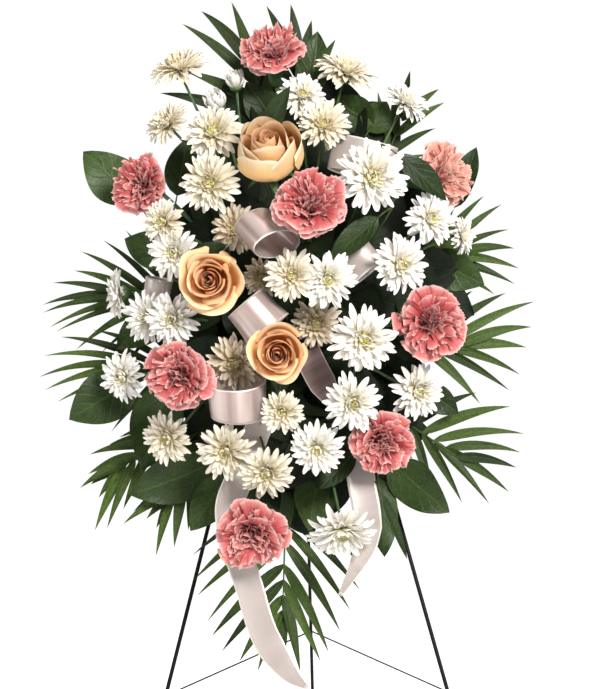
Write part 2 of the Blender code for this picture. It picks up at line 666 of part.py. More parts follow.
def mum_spray(name, heads):
    """A branching stem: the main stem forks once and each branch ends in a head."""
    ends = []
    for kind, place, lean, diameter in heads:
        direction = facing(*lean)
        points, radii = head_points(kind, place, direction, diameter)
        ends.append((kind, direction, points, radii))
    middle = sum((points[0] for _, _, points, _ in ends), Vector()) / len(ends)
    entry, inner = foam_entry(middle, FLOWER_SIDE_W, MUM_STEM_RADIUS)
    fork = entry.lerp(middle, 0.30)
    meshes = [tube_mesh([inner, entry, fork, fork + (fork - entry).normalized() * 0.002],
                        MUM_STEM_RADIUS, resolution=2)]
    for kind, direction, points, radii in ends:
        stem = STEM_RADII[kind]
        start = fork + (entry - fork).normalized() * 0.0013 * len(meshes)
        drop = (points[0] - start).length
        control = lean_point(points[0], direction, drop * 0.5)
        path = [start] + arc(start, control, points[0], 2) + points
        widths = [stem] * (len(path) - len(points)) + radii
        widths[-len(points)] = max(radii[0], stem)
        meshes.append(tube_mesh(path, 1.0, widths, resolution=SIDES[kind]))
    spray = add_mesh(name, meshes[0], WHITE)
    combine(spray, meshes[1:], "UNION")


def flowers():
    for number, (place, lean, diameter) in enumerate(CARNATIONS, 1):
        flower(f"carnation_{number}", "carnation", place, lean, diameter, CORAL)
    for number, (place, lean, diameter) in enumerate(ROSES, 1):
        flower(f"rose_{number}", "rose", place, lean, diameter, PEACH)
    for number, heads in enumerate(MUM_SPRAYS, 1):
        mum_spray(f"mum_spray_{number}", heads)


# ================================================================ foliage
def blade_frame(base, tip):
    """Axes for a flat blade in spray coordinates: x to the tip, y across, z out."""
    along = (tip - base).normalized()
    across = Vector((0.0, 0.0, 1.0)).cross(along).normalized()
    out = along.cross(across)
    turn = Matrix((along, across, out)).transposed().to_4x4()
    return Matrix.Translation(base) @ turn


def frond(name, tip_xz, half_width, layer_w):
    """A palm frond: a comb of pointed leaflets on a flat midrib, curling forward towards its tip."""
    tip = on_front_plane(*tip_xz, layer_w)
    _, inner = foam_entry(SPRAY_FRAME @ tip, layer_w, FROND_STEM_RADIUS, straight=True)
    start = to_spray(inner)
    start.z = layer_w
    length = (tip - start).length
    spine = FROND_SPINE / 2
    first = STEM_DEPTH + FROND_BARE_LENGTH
    pitch = (length - first) / (FROND_LEAFLETS + 1)
    side = [(0.0, spine)]
    for number in range(FROND_LEAFLETS):
        base = first + number * pitch
        share = number / (FROND_LEAFLETS - 1)
        angle = LEAFLET_FIRST_ANGLE + (LEAFLET_LAST_ANGLE - LEAFLET_FIRST_ANGLE) * share
        swell = math.sin(math.pi * (LEAFLET_SWELL_START + LEAFLET_SWELL_RUN * share))
        reach = half_width * (LEAFLET_LEAST_REACH + LEAFLET_SWELL * swell)
        end = (base + pitch * LEAFLET_TIP_SHIFT + reach * math.cos(angle), spine + reach * math.sin(angle))
        belly = LEAFLET_BELLY * math.cos(angle)
        side += [(base, spine), ((base + end[0]) / 2, (spine + end[1]) / 2 + belly),
                 end, (base + pitch * LEAFLET_ROOT_SHARE, spine)]
    outline = side + [(length, 0.0)] + [(x, -y) for x, y in reversed(side)]
    mesh = outline_mesh(outline, FROND_THICKNESS)
    mesh.transform(blade_frame(start, tip))
    for vertex in mesh.vertices:
        away = max(abs(vertex.co.x) - FOAM_HALF_U, abs(vertex.co.y) - FOAM_HALF_V, 0.0)
        vertex.co.z += FROND_CURL * (away / FROND_CURL_REACH) ** 2
    spray_plate(mesh, name, PALM)


def leaf_outline(length, width):
    """A pointed oval from (0, 0) to (length, 0)."""
    shares = (0.16, 0.40, 0.66, 0.88)
    side = [(share * length, width / 2 * math.sin(math.pi * share ** 0.8)) for share in shares]
    return [(0.0, 0.0)] + side + [(length, 0.0)] + [(x, -y) for x, y in reversed(side)]


def leaf_height(x, v, layer):
    return layer + LEAF_RISE * max(0.0, math.hypot(x, v) - LEAF_RISE_START)


def sprig(name, leaves, layer):
    """A short woody stem with a few broad leaves that spread at the layer's depth."""
    blades = []
    bases = []
    for base_xz, tip_xz, width in leaves:
        base = on_front_plane(*base_xz, layer)
        tip = on_front_plane(*tip_xz, layer)
        base.z = leaf_height(base.x, base.y, layer)
        tip.z = leaf_height(tip.x, tip.y, layer)
        mesh = outline_mesh(leaf_outline((tip - base).length, width), LEAF_THICKNESS)
        mesh.transform(blade_frame(base, tip))
        blades.append(mesh)
        bases.append((base, tip))
    middle = sum((base for base, _ in bases), Vector()) / len(bases)
    entry, inner = (to_spray(point) for point in foam_entry(SPRAY_FRAME @ middle, layer, TWIG_RADIUS))
    fork = entry.lerp(middle, FORK_SHARE)
    outward = (fork - entry).normalized()
    meshes = []
    for (base, tip), blade in zip(bases, blades):
        start = fork - outward * FORK_STEP * (1 + len(meshes))
        into = base + (tip - base).normalized() * PETIOLE_RUN
        meshes += [tube_mesh([start, start.lerp(base, 0.6), into], PETIOLE_RADIUS, resolution=1), blade]
    stem = tube_mesh([inner, entry, fork, fork + outward * TWIG_STUB], TWIG_RADIUS, resolution=1)
    piece = spray_plate(stem, name, LEAF)
    combine(piece, meshes, "UNION")


def foliage():
    for number, (tip, half_width, layer) in enumerate(FRONDS, 1):
        frond(f"palm_frond_{number}", tip, half_width, layer)
    for number, leaves in enumerate(SPRIGS, 1):
        sprig(f"leaf_sprig_{number}", leaves, LEAF_W + LEAF_LAYER_STEP * (number % 2))


# ================================================================ ribbon
def strip_mesh(points, across, widths, closed=False):
    """A thin band along points, with its width along the across direction at each point."""
    work = bmesh.new()
    rows = []
    for point, direction, width in zip(points, across, widths):
        reach = Vector(direction).normalized() * width / 2
        rows.append((work.verts.new(point - reach), work.verts.new(point + reach)))
    following = rows[1:] + rows[:1] if closed else rows[1:]
    for (low, high), (next_low, next_high) in zip(rows, following):
        work.faces.new((low, next_low, next_high, high))
    mesh = bpy.data.meshes.new("strip")
    work.to_mesh(mesh)
    work.free()
    return thickened(mesh)


def thickened(mesh):
    band = bpy.data.objects.new("band", mesh)
    cutters.objects.link(band)
    shell = band.modifiers.new("shell", "SOLIDIFY")
    shell.thickness = RIBBON_THICKNESS
    shell.offset = 0.0
    bpy.context.view_layer.update()
    graph = bpy.context.evaluated_depsgraph_get()
    solid = bpy.data.meshes.new_from_object(band.evaluated_get(graph))
    bpy.data.objects.remove(band, do_unlink=True)
    weld(solid)
    return solid


def bow():
    """Satin loops on wires from one knot, which the pick holds in the foam."""
    knot = head_centre(KNOT)
    work = bmesh.new()
    bmesh.ops.create_icosphere(work, subdivisions=1, radius=KNOT_RADIUS, matrix=Matrix.Translation(knot))
    mesh = bpy.data.meshes.new("knot")
    work.to_mesh(mesh)
    work.free()
    piece = add_mesh("ribbon_bow", mesh, SATIN)
    joined = []
    for centre, width_way, long_way, half_length, half_depth in LOOPS:
        middle = head_centre(centre)
        axis = Vector(width_way).normalized()
        run = Vector(long_way)
        run = (run - axis * run.dot(axis)).normalized()
        depth = axis.cross(run)
        points = [middle + run * (half_length * math.cos(turn)) + depth * (half_depth * math.sin(turn))
                  for turn in (2 * math.pi * step / LOOP_STEPS for step in range(LOOP_STEPS))]
        joined.append(strip_mesh(points, [axis] * LOOP_STEPS, [RIBBON_WIDTH] * LOOP_STEPS, closed=True))
        near = min(points, key=lambda point: (point - knot).length)
        beyond = near + (near - knot).normalized() * 0.002
        joined.append(tube_mesh([knot, beyond], LOOP_STEM_RADIUS, resolution=1))
    combine(piece, joined, "UNION")


def ribbon_tail(name, route):
    points = [head_centre(place) for place, _ in route]
    widths = [TAIL_WIDTH] * (len(points) - 2) + [TAIL_WIDTH * 0.7, TAIL_WIDTH * 0.1]
    add_mesh(name, strip_mesh(points, [across for _, across in route], widths), SATIN)


def ribbon():
    bow()
    ribbon_tail("ribbon_tail_left", LEFT_TAIL)
    ribbon_tail("ribbon_tail_right", RIGHT_TAIL)


clear_scene()
parts = new_collection("standing_funeral_arrangement")
cutters = new_collection("cutters")
easel()
flowers()
foliage()
ribbon()
bow_pick()
foam_block()
tray()
tie("upper_tie", 1)
tie("lower_tie", -1)
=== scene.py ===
import math
from collections import namedtuple

import bpy
import numpy as np
from mathutils import Matrix, Vector


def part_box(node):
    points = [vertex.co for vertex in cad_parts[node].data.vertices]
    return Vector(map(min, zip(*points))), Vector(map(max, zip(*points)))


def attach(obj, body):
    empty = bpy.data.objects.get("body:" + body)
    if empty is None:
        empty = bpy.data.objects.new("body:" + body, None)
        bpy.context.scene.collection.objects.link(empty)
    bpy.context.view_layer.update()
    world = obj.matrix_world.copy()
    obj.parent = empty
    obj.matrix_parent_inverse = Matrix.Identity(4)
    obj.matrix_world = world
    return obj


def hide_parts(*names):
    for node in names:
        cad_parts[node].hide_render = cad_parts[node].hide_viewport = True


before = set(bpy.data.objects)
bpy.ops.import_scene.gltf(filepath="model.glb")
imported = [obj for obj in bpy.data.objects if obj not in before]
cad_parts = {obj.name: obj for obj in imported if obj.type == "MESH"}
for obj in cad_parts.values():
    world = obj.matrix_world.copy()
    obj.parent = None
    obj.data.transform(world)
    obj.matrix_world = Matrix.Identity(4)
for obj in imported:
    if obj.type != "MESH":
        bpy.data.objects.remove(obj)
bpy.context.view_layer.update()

BODY = "stand"
FULL_TURN = 2 * math.pi
GOLDEN = math.pi * (3 - math.sqrt(5))
# Where a wave may start, for a random draw.
PHASES = (0, 6.28)
# The seed that each kind of piece counts on from.
SEEDS = {"carnation": 100, "rose": 200, "mum": 300, "palm": 400, "sprig": 500, "filler": 600, "forward": 650,
         "loop": 700}

# ---- the easel's front plane, which the spray lies on
hinge_low, hinge_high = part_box("hinge_bar")
HINGE_Y = (hinge_low[1] + hinge_high[1]) / 2
HINGE_Z = (hinge_low[2] + hinge_high[2]) / 2
FRONT_LEAN = math.radians(12.0)
ACROSS = np.array([1.0, 0.0, 0.0])
UPRIGHT = np.array([0.0, 0.0, 1.0])
OUT = np.array([0.0, -math.cos(FRONT_LEAN), math.sin(FRONT_LEAN)])
UP = np.array([0.0, math.sin(FRONT_LEAN), math.cos(FRONT_LEAN)])
SPRAY_Z = 0.96
SPRAY_ORIGIN = np.array([0.0, HINGE_Y, HINGE_Z]) - UP * (HINGE_Z - SPRAY_Z) / math.cos(FRONT_LEAN)
FOAM_HALF_WIDTH = 0.050
FOAM_HALF_HEIGHT = 0.108

# ---- flowers
# Head centre (x, y from the hinge, z), the sideways and upward parts of its facing direction, diameter and
# petals.
CARNATIONS = (
    ((-0.023, -0.060, 1.268), (-0.05, 0.75), 0.072, "coral"),
    ((-0.154, -0.105, 1.139), (-0.45, 0.25), 0.066, "coral"),
    ((0.015, -0.212, 1.118), (0.05, 0.52), 0.077, "coral"),
    ((0.143, -0.100, 1.144), (0.74, 0.20), 0.074, "pale coral"),
    ((0.127, -0.170, 1.002), (0.30, 0.05), 0.079, "coral"),
    ((-0.115, -0.190, 0.957), (-0.30, 0.00), 0.074, "coral"),
    ((0.078, -0.178, 0.888), (0.20, -0.20), 0.074, "coral"),
    ((-0.049, -0.200, 0.803), (-0.05, -0.35), 0.078, "coral"),
)
# Roses also have their openness: 0 in a bud and 1 in full bloom.
ROSES = (
    ((-0.026, -0.165, 1.168), (-0.06, 0.70), 0.074, "pale peach", 0.05),
    ((-0.084, -0.200, 1.050), (-0.10, 0.05), 0.068, "peach", 1.0),
    ((-0.020, -0.212, 0.979), (0.00, -0.05), 0.062, "peach", 0.9),
)
# Each spray is one branching stem: its heads as above, with the kind of head first.
MUM_SPRAYS = (
    (("cream and shade", (-0.120, -0.050, 1.260), (-0.25, 0.86), 0.062),
     ("bud", (-0.062, -0.060, 1.243), (-0.10, 0.90), 0.024),
     ("bud", (-0.081, -0.075, 1.222), (-0.30, 0.80), 0.026),
     ("cream and shade", (-0.132, -0.085, 1.203), (-0.50, 0.65), 0.052),
     ("cream and shade", (-0.082, -0.130, 1.193), (-0.15, 0.50), 0.062)),
    (("mum", (0.007, -0.105, 1.228), (0.15, 0.55), 0.050),
     ("cream and shade", (0.051, -0.060, 1.253), (0.25, 0.86), 0.062),
     ("cream and shade", (0.028, -0.140, 1.198), (0.10, 0.50), 0.055)),
    (("mum", (0.112, -0.055, 1.220), (0.50, 0.75), 0.052),
     ("mum", (0.075, -0.175, 1.146), (0.15, 0.10), 0.072)),
    (("mum", (0.133, -0.145, 1.103), (0.40, 0.10), 0.055),
     ("mum", (0.166, -0.110, 1.084), (0.85, 0.00), 0.040),
     ("mum", (0.102, -0.175, 1.060), (0.35, 0.10), 0.058)),
    (("cream and shade", (-0.133, -0.155, 1.105), (-0.40, 0.20), 0.045),
     ("mum", (-0.122, -0.160, 1.074), (-0.25, 0.00), 0.054),
     ("cream and shade", (-0.085, -0.165, 1.142), (-0.10, 0.15), 0.060)),
    (("mum", (-0.185, -0.095, 1.031), (-0.95, 0.00), 0.052),
     ("mum", (-0.150, -0.150, 1.010), (-0.45, 0.00), 0.054),
     ("mum", (-0.124, -0.175, 1.010), (-0.20, 0.00), 0.054)),
    (("recess shade", (-0.061, -0.145, 1.097), (-0.10, 0.10), 0.050),
     ("recess shade", (-0.036, -0.148, 1.048), (0.00, 0.10), 0.040)),
    (("cream and shade", (-0.005, -0.205, 1.053), (-0.10, 0.00), 0.052),
     ("mum", (0.030, -0.200, 1.048), (0.15, 0.00), 0.056),
     ("recess shade", (0.017, -0.165, 1.003), (0.00, 0.00), 0.050)),
    (("mum", (0.064, -0.210, 0.990), (0.15, 0.00), 0.066),
     ("mum", (0.052, -0.214, 0.929), (0.10, -0.10), 0.058),
     ("mum", (0.117, -0.165, 0.934), (0.45, -0.05), 0.058)),
    (("mum", (-0.179, -0.130, 0.950), (-0.50, -0.05), 0.052),
     ("cream and shade", (-0.134, -0.150, 0.889), (-0.40, -0.15), 0.054)),
    (("recess shade", (-0.063, -0.175, 0.966), (-0.15, 0.00), 0.056),
     ("cream and shade", (-0.017, -0.206, 0.920), (0.00, -0.15), 0.044)),
    (("cream and shade", (-0.074, -0.190, 0.880), (-0.15, -0.20), 0.058),
     ("cream and shade", (-0.033, -0.205, 0.860), (-0.05, -0.35), 0.055)),
    (("mum", (0.016, -0.205, 0.883), (0.05, -0.25), 0.055),
     ("mum", (0.040, -0.194, 0.798), (0.10, -0.62), 0.068)),
)


# ---- small maths
def unit(vector):
    return np.asarray(vector, float) / np.linalg.norm(vector)


def spray_point(u, v, w):
    """u across, v up the easel's front plane and w out of it."""
    return SPRAY_ORIGIN + ACROSS * u + UP * v + OUT * w


def front_plane(x, z, w):
    """(u, v) of the point at height z that stands w out of the front plane."""
    return x, (z - SPRAY_ORIGIN[2] - w * OUT[2]) / UP[2]


def foam_share(u, v, limit):
    """The share of the way out to (u, v), up to a limit, that stays on the foam's face."""
    return min(FOAM_HALF_WIDTH / max(abs(u), 1e-6), FOAM_HALF_HEIGHT / max(abs(v), 1e-6), limit)


def place_point(place):
    x, y, z = place
    return np.array([x, HINGE_Y + y, z])


def facing(sideways, upward):
    return unit([sideways, -math.sqrt(max(0.0, 1.0 - sideways ** 2 - upward ** 2)), upward])


def axes_to(direction, roll):
    """A rotation whose third column is the direction, rolled about it."""
    out = unit(direction)
    side = np.cross(UPRIGHT, out)
    side = unit(side) if np.linalg.norm(side) > 1e-4 else ACROSS
    turned = side * math.cos(roll) + np.cross(out, side) * math.sin(roll)
    return np.stack([turned, np.cross(out, turned), out], axis=1)


def spin(azimuth):
    return np.array(Matrix.Rotation(azimuth, 3, "Z"))


def bezier(start, control, end, steps):
    ts = np.linspace(0.0, 1.0, steps)[:, None]
    return start * (1 - ts) ** 2 + control * 2 * ts * (1 - ts) + end * ts ** 2


def smooth(t):
    t = np.clip(t, 0.0, 1.0)
    return t * t * (3 - 2 * t)


def net(columns, rows):
    """Places across a blade (-1 to 1, a row) and along it (0 to 1, a column)."""
    return np.linspace(-1.0, 1.0, columns)[None, :], np.linspace(0.0, 1.0, rows)[:, None]


def around(r, azimuth, z):
    return np.stack([r * np.cos(azimuth), r * np.sin(azimuth), z + 0 * azimuth], axis=-1)


def bent_profile(length, start, end, places, power=1.0):
    """Radial and axial points and tilts of a petal's middle line, which bends from one tilt to another."""
    angles = start + (end - start) * places ** power
    middle = (angles[1:] + angles[:-1]) / 2
    steps = np.diff(places) * length
    radial = np.concatenate([[0.0], np.cumsum(np.sin(middle) * steps)])
    axial = np.concatenate([[0.0], np.cumsum(np.cos(middle) * steps)])
    return radial, axial, angles


# ---- meshes
# A finish is a place in a piece's list of materials. Its petals, leaves or ribbon come first, then its green
# stem. A chrysanthemum has its florets between them.
BLADE = 0
GREEN = 1
FLORET = 1
MUM_GREEN = 2
STEM_SIDES = 8
TWIG_SIDES = 7


class Sheets:
    """Collects grids of points into one mesh; each point keeps (across, along, seed) for its material."""

    def __init__(self):
        self.points = []
        self.marks = []
        self.faces = []
        self.finishes = []
        self.count = 0

    def grid(self, points, finish, seed, wrap=False, along=None):
        rows, columns = points.shape[:2]
        marks = np.empty((rows, columns, 3))
        marks[:, :, 0] = np.linspace(-1.0, 1.0, columns)[None, :]
        marks[:, :, 1] = (np.linspace(0.0, 1.0, rows) if along is None else along)[:, None]
        marks[:, :, 2] = seed
        self.points.append(points.reshape(-1, 3))
        self.marks.append(marks.reshape(-1, 3))
        index = np.arange(rows * columns).reshape(rows, columns) + self.count
        right = np.roll(index, -1, axis=1) if wrap else index[:, 1:]
        left = index if wrap else index[:, :-1]
        quads = np.stack([left[:-1], right[:-1], right[1:], left[1:]], axis=-1).reshape(-1, 4)
        self.faces.append(quads)
        self.finishes.append(np.full(len(quads), finish))
        self.count += rows * columns

    def build(self, name, materials, thickness=0.0):
        mesh = bpy.data.meshes.new(name)
        mesh.from_pydata(np.concatenate(self.points).tolist(), [], np.concatenate(self.faces).tolist())
        mark = mesh.attributes.new("petal", "FLOAT_VECTOR", "POINT")
        mark.data.foreach_set("vector", np.concatenate(self.marks).astype(np.float32).ravel())
        for material in materials:
            mesh.materials.append(material)
        mesh.polygons.foreach_set("material_index", np.concatenate(self.finishes).astype(np.int32))
        mesh.shade_smooth()
        piece = bpy.data.objects.new(name, mesh)
        bpy.context.scene.collection.objects.link(piece)
        if thickness:
            shell = piece.modifiers.new("thickness", "SOLIDIFY")
            shell.thickness = thickness
            shell.offset = 0.0
        return piece


def tube(sheets, path, radii, sides, finish, seed=0.0):
    """A round stem along a path, with a radius at each point, closed at both ends."""
    path = np.asarray(path, float)
    radii = np.broadcast_to(np.asarray(radii, float), (len(path),))
    tangent = np.gradient(path, axis=0)
    tangent /= np.linalg.norm(tangent, axis=1)[:, None]
    side = unit(np.cross(tangent[0], [0.3, 0.2, 0.93]))
    angles = np.linspace(0.0, FULL_TURN, sides, endpoint=False)[:, None]
    rings = []
    for point, way, radius in zip(path, tangent, radii):
        side = unit(side - way * side.dot(way))
        rings.append(point + radius * (np.cos(angles) * side + np.sin(angles) * np.cross(way, side)))
    ends = [np.repeat(end[None, None], sides, axis=1) for end in (path[0], path[-1])]
    sheets.grid(np.concatenate([ends[0], np.array(rings), ends[1]]), finish, seed, wrap=True)


def twig(sheets, start, end, lift, steps, radius, sides, finish):
    """A thin stem from start to end, whose middle is pushed by lift."""
    tube(sheets, bezier(start, (start + end) / 2 + lift, end, steps), radius, sides, finish)


class Head:
    """A flower head that faces along a direction. Places along its axis, from its base, and the radii of its
    green cup are shares of its radius."""

    def __init__(self, sheets, rng, centre, direction, diameter, base):
        self.sheets = sheets
        self.rng = rng
        self.radius = diameter / 2
        self.axis = direction * self.radius
        self.turn = axes_to(direction, rng.uniform(0, FULL_TURN))
        self.base = centre + self.axis * base

    def at(self, place):
        return self.base + self.axis * place

    def blade(self, points, azimuth, finish, seed, marks=None, lean=None):
        """Adds a petal or sepal that was modelled for a flower facing +Z, with its middle over +X."""
        turn = self.turn @ spin(azimuth) if lean is None else self.turn @ spin(azimuth) @ lean
        self.sheets.grid(points @ turn.T + self.base, finish, seed, along=marks)

    def cup(self, profile, finish):
        """Adds the green cup under the petals: a place along the axis and a radius at each point."""
        path = [self.at(place) for place, _ in profile]
        tube(self.sheets, path, [part * self.radius for _, part in profile], 12, finish)


# ---- carnation
CARNATION_ROWS = 12
CARNATION_COLUMNS = 35
CARNATION_CALYX = ((-0.71, 0.05), (-0.63, 0.12), (-0.47, 0.18), (-0.09, 0.22), (0.21, 0.21), (0.39, 0.25))
CarnationRing = namedtuple("CarnationRing", "count length tilt spread ruffle pleats swing")
CARNATION_RINGS = [CarnationRing(*facts) for facts in (
    (10, 1.27, 108, 25, 0.080, 1.5, 0.04),
    (8, 1.21, 94, 29, 0.105, 1.6, 0.08),
    (8, 1.13, 82, 30, 0.120, 1.7, 0.12),
    (7, 1.04, 71, 33, 0.130, 1.8, 0.18),
    (7, 0.97, 60, 36, 0.130, 1.8, 0.25),
    (6, 0.90, 49, 44, 0.130, 1.9, 0.35),
    (5, 0.83, 37, 58, 0.125, 2.1, 0.40),
    (5, 0.77, 24, 84, 0.110, 2.4, 0.40),
    (4, 0.74, 9, 118, 0.085, 2.6, 0.40),
    (3, 0.72, -6, 130, 0.070, 2.4, 0.40),
)]


def carnation_petal(rng, radius, ring):
    """One fan-shaped petal: an upright claw and a spreading, pleated blade with a toothed edge."""
    s, t = net(CARNATION_COLUMNS, CARNATION_ROWS)
    length = radius * ring.length * rng.uniform(0.95, 1.10)
    tilt = math.radians(ring.tilt + rng.uniform(-15, 15))
    radial, axial, angles = bent_profile(length, math.radians(6), tilt, t[:, 0], 1.25)
    spread = math.radians(ring.spread) * rng.uniform(0.85, 1.2)
    width = spread * (0.18 + 0.82 * smooth(t * 1.15) ** 0.9)
    teeth = np.where(np.arange(CARNATION_COLUMNS) % 2 == 0, 1.0, -1.0) * rng.uniform(0.3, 1.6, (1, s.size))
    reach = 1.0 - 0.17 * np.abs(s) ** 2.4 * t + 0.012 * teeth * smooth((t - 0.86) / 0.14)
    pleats = ring.pleats * rng.uniform(0.8, 1.25)
    phase, second, third = rng.uniform(0, FULL_TURN, 3)
    bend = s + 0.26 * np.sin(2.6 * s + third)
    ruffle = ring.ruffle * radius * t ** 2.2 * (
        np.sin(pleats * math.pi * bend + phase)
        + 0.34 * np.sin(1.9 * pleats * math.pi * bend + second + 2.2 * t)
        + 0.14 * t ** 2 * np.sin(3.7 * pleats * math.pi * s + third))
    curl = 0.09 * radius * smooth((t - 0.70) / 0.30) * np.sin(1.5 * math.pi * bend + second)
    tilts = angles[:, None]
    r = radial[:, None] * reach + radius * 0.05 + ruffle * np.cos(tilts)
    z = axial[:, None] * reach + ruffle * np.sin(tilts) + curl
    sway = 0.15 * t ** 2.4 * np.cos(pleats * math.pi * bend + phase)
    return around(r, width * s + sway + ring.swing * t * rng.uniform(-1, 1), z)


def carnation_head(sheets, rng, centre, direction, diameter):
    head = Head(sheets, rng, centre, direction, diameter, -0.46)
    for order, ring in enumerate(CARNATION_RINGS):
        offset = rng.uniform(0, FULL_TURN)
        marks = np.linspace(0.0, 1.0, CARNATION_ROWS) ** (1.0 - 0.055 * order)
        for petal in range(ring.count):
            azimuth = offset + FULL_TURN * petal / ring.count + rng.uniform(-0.22, 0.22)
            head.blade(carnation_petal(rng, head.radius, ring), azimuth, BLADE, rng.uniform(0, 1), marks)
    head.cup(CARNATION_CALYX, GREEN)
    return head.at(-0.68)


# ---- rose
# How far out each petal stands, from the heart to the outermost.
ROSE_SHARES = (0.0, 0.04, 0.08, 0.13, 0.18, 0.24, 0.30, 0.37, 0.44, 0.51, 0.59, 0.67, 0.75, 0.83, 0.90,
               0.95, 0.98, 1.0)
ROSE_PETAL_TURN = math.radians(137)
ROSE_HIP = ((-0.34, 0.06), (-0.28, 0.14), (-0.18, 0.22), (-0.06, 0.26), (0.04, 0.22))
SEPALS = 5
ROSE_NET = (29, 19)
SEPAL_NET = (5, 7)


def rose_petal(rng, radius, share, half_span, openness):
    """A cupped blade whose top margin rolls back either side of a soft point, for a flower that faces +Z. The
    share is 0 at the heart and 1 at the outermost; openness is 0 in a bud and 1 in full bloom."""
    s, t = net(*ROSE_NET)
    out = np.abs(s)
    belly = radius * (0.100 + (0.79 - 0.19 * openness) * share)
    rim = radius * (0.040 + (0.70 + 0.12 * openness) * share ** 1.08)
    height = radius * (1.46 - 0.46 * openness * share ** 1.4 - 0.10 * (1 - share) ** 4)
    height *= rng.uniform(0.96, 1.03)
    bowl = np.sin(math.pi / 2 * np.clip(t / 0.52, 0, 1)) ** 0.75
    r = belly * bowl + (rim - belly) * np.clip((t - 0.5) / 0.5, 0, 1) ** 1.5
    z = height * t * (1 - (0.17 + 0.09 * share) * out ** 1.8 * smooth(t / 0.7))
    margin = smooth((t - (0.90 - 0.14 * out ** 1.5 - 0.10 * share)) / 0.22)
    lip = radius * (0.032 + 0.100 * share) * (0.55 + 0.70 * out ** 1.3) * rng.uniform(0.8, 1.25)
    lip = lip * (0.35 + 0.65 * openness)
    r = r + lip * margin
    z = z - lip * margin ** 2 * (0.55 + 0.65 * out)
    phase, second = rng.uniform(*PHASES, 2)
    wave = radius * 0.034 * t ** 2.5 * (0.25 + share) * (
        np.sin(rng.uniform(1.0, 1.8) * math.pi * s + phase) + 0.35 * np.sin(4.5 * s + second))
    r = (r + wave) * (1 - 0.07 * out ** 2 * t - (0.17 - 0.11 * share) * s)
    spread = half_span * (0.36 + 0.64 * np.sin(math.pi * np.clip(0.08 + 0.46 * t, 0, 1)))
    return around(r, spread * (1 - 0.10 * smooth((t - 0.8) / 0.2) * out ** 3) * s, z)


def rose_head(sheets, rng, centre, direction, diameter, openness):
    head = Head(sheets, rng, centre, direction, diameter, -0.66)
    for petal, share in enumerate(ROSE_SHARES):
        azimuth = petal * ROSE_PETAL_TURN + rng.uniform(-0.22, 0.22)
        lean = np.array(Matrix.Rotation(rng.uniform(-0.05, 0.09) * share, 3, "Y"))
        half_span = math.radians(150 - 90 * share ** 0.7) * rng.uniform(0.93, 1.07)
        petal_points = rose_petal(rng, head.radius, share, half_span, openness)
        head.blade(petal_points, azimuth, BLADE, share, lean=lean)
    s, t = net(*SEPAL_NET)
    radial, axial, _ = bent_profile(0.75, math.radians(60), math.radians(150), t[:, 0])
    sepal = np.stack([radial[:, None] + 0.1 + 0 * s, 0.13 * (1 - t ** 1.5) * s,
                      axial[:, None] - 0.05 + 0 * s], axis=-1)
    for number in range(SEPALS):
        head.blade(sepal * head.radius, FULL_TURN * number / SEPALS, GREEN, 0.0)
    head.cup(ROSE_HIP, GREEN)
    return head.at(-0.34)


# ---- spray chrysanthemum
MUM_PETAL_ALONG = np.array([0.0, 0.20, 0.42, 0.62, 0.78, 0.90, 0.97, 1.0])
MUM_PETAL_ACROSS = np.array([-1.0, -0.55, 0.0, 0.55, 1.0])[None, :]
MumRing = namedtuple("MumRing", "count length start end width tone")
MUM_RINGS = [MumRing(*facts) for facts in (
    (18, 0.98, 74, 110, 0.104, 1.0),
    (18, 0.93, 66, 92, 0.104, 1.0),
    (17, 0.84, 57, 72, 0.101, 0.9),
    (15, 0.71, 47, 48, 0.096, 0.8),
    (13, 0.55, 36, 16, 0.088, 0.62),
    (11, 0.41, 25, -14, 0.076, 0.46),
)]
BUD_RINGS = [MumRing(*facts) for facts in (
    (12, 1.75, 62, -12, 0.24, 1.0), (10, 1.65, 45, -20, 0.24, 1.0), (7, 1.5, 25, -20, 0.24, 1.0))]
MUM_CUP = ((-0.40, 0.06), (-0.32, 0.16), (-0.22, 0.26), (-0.10, 0.30), (0.02, 0.24))
BUD_CUP = ((-0.30, 0.10), (-0.20, 0.30), (0.00, 0.52), (0.25, 0.62))
FLORETS = 44


def mum_petal(rng, radius, ring, droop):
    """One narrow, channelled petal with a blunt round tip, for a flower that faces +Z."""
    t = MUM_PETAL_ALONG
    s = MUM_PETAL_ACROSS
    length = radius * ring.length * rng.uniform(0.86, 1.08)
    start = math.radians(ring.start + rng.uniform(-9, 9))
    end = math.radians(ring.end + droop + rng.uniform(-22, 20))
    radial, axial, angles = bent_profile(length, start, end, t, 1.2)
    taper = np.where(t < 0.62, 0.46 + 0.54 * smooth(t / 0.55),
                     np.clip(1.0 - np.clip((t - 0.62) / 0.385, 0, 1) ** 2.2, 0.02, 1.0) ** 0.62)
    width = (radius * ring.width * rng.uniform(0.84, 1.14) * taper)[:, None]
    lift = width * rng.uniform(0.45, 0.85) * (s ** 2 - 0.35)
    tilts = angles[:, None]
    sway = rng.uniform(-0.16, 0.16) * radius * t[:, None] ** 2
    roll = rng.uniform(-0.35, 0.35) * width * s * t[:, None]
    return np.stack([radial[:, None] - lift * np.cos(tilts) + radius * 0.08, width * s + sway,
                     axial[:, None] + lift * np.sin(tilts) + roll], axis=-1)


def mum_whorl(head, ring, offset, jitter, droop=0.0, finish=BLADE, warmth=1.0):
    for petal in range(ring.count):
        azimuth = offset + FULL_TURN * petal / ring.count + head.rng.uniform(-jitter, jitter)
        head.blade(mum_petal(head.rng, head.radius, ring, droop), azimuth, finish, head.rng.uniform(0, 1),
                   MUM_PETAL_ALONG * ring.tone * warmth)


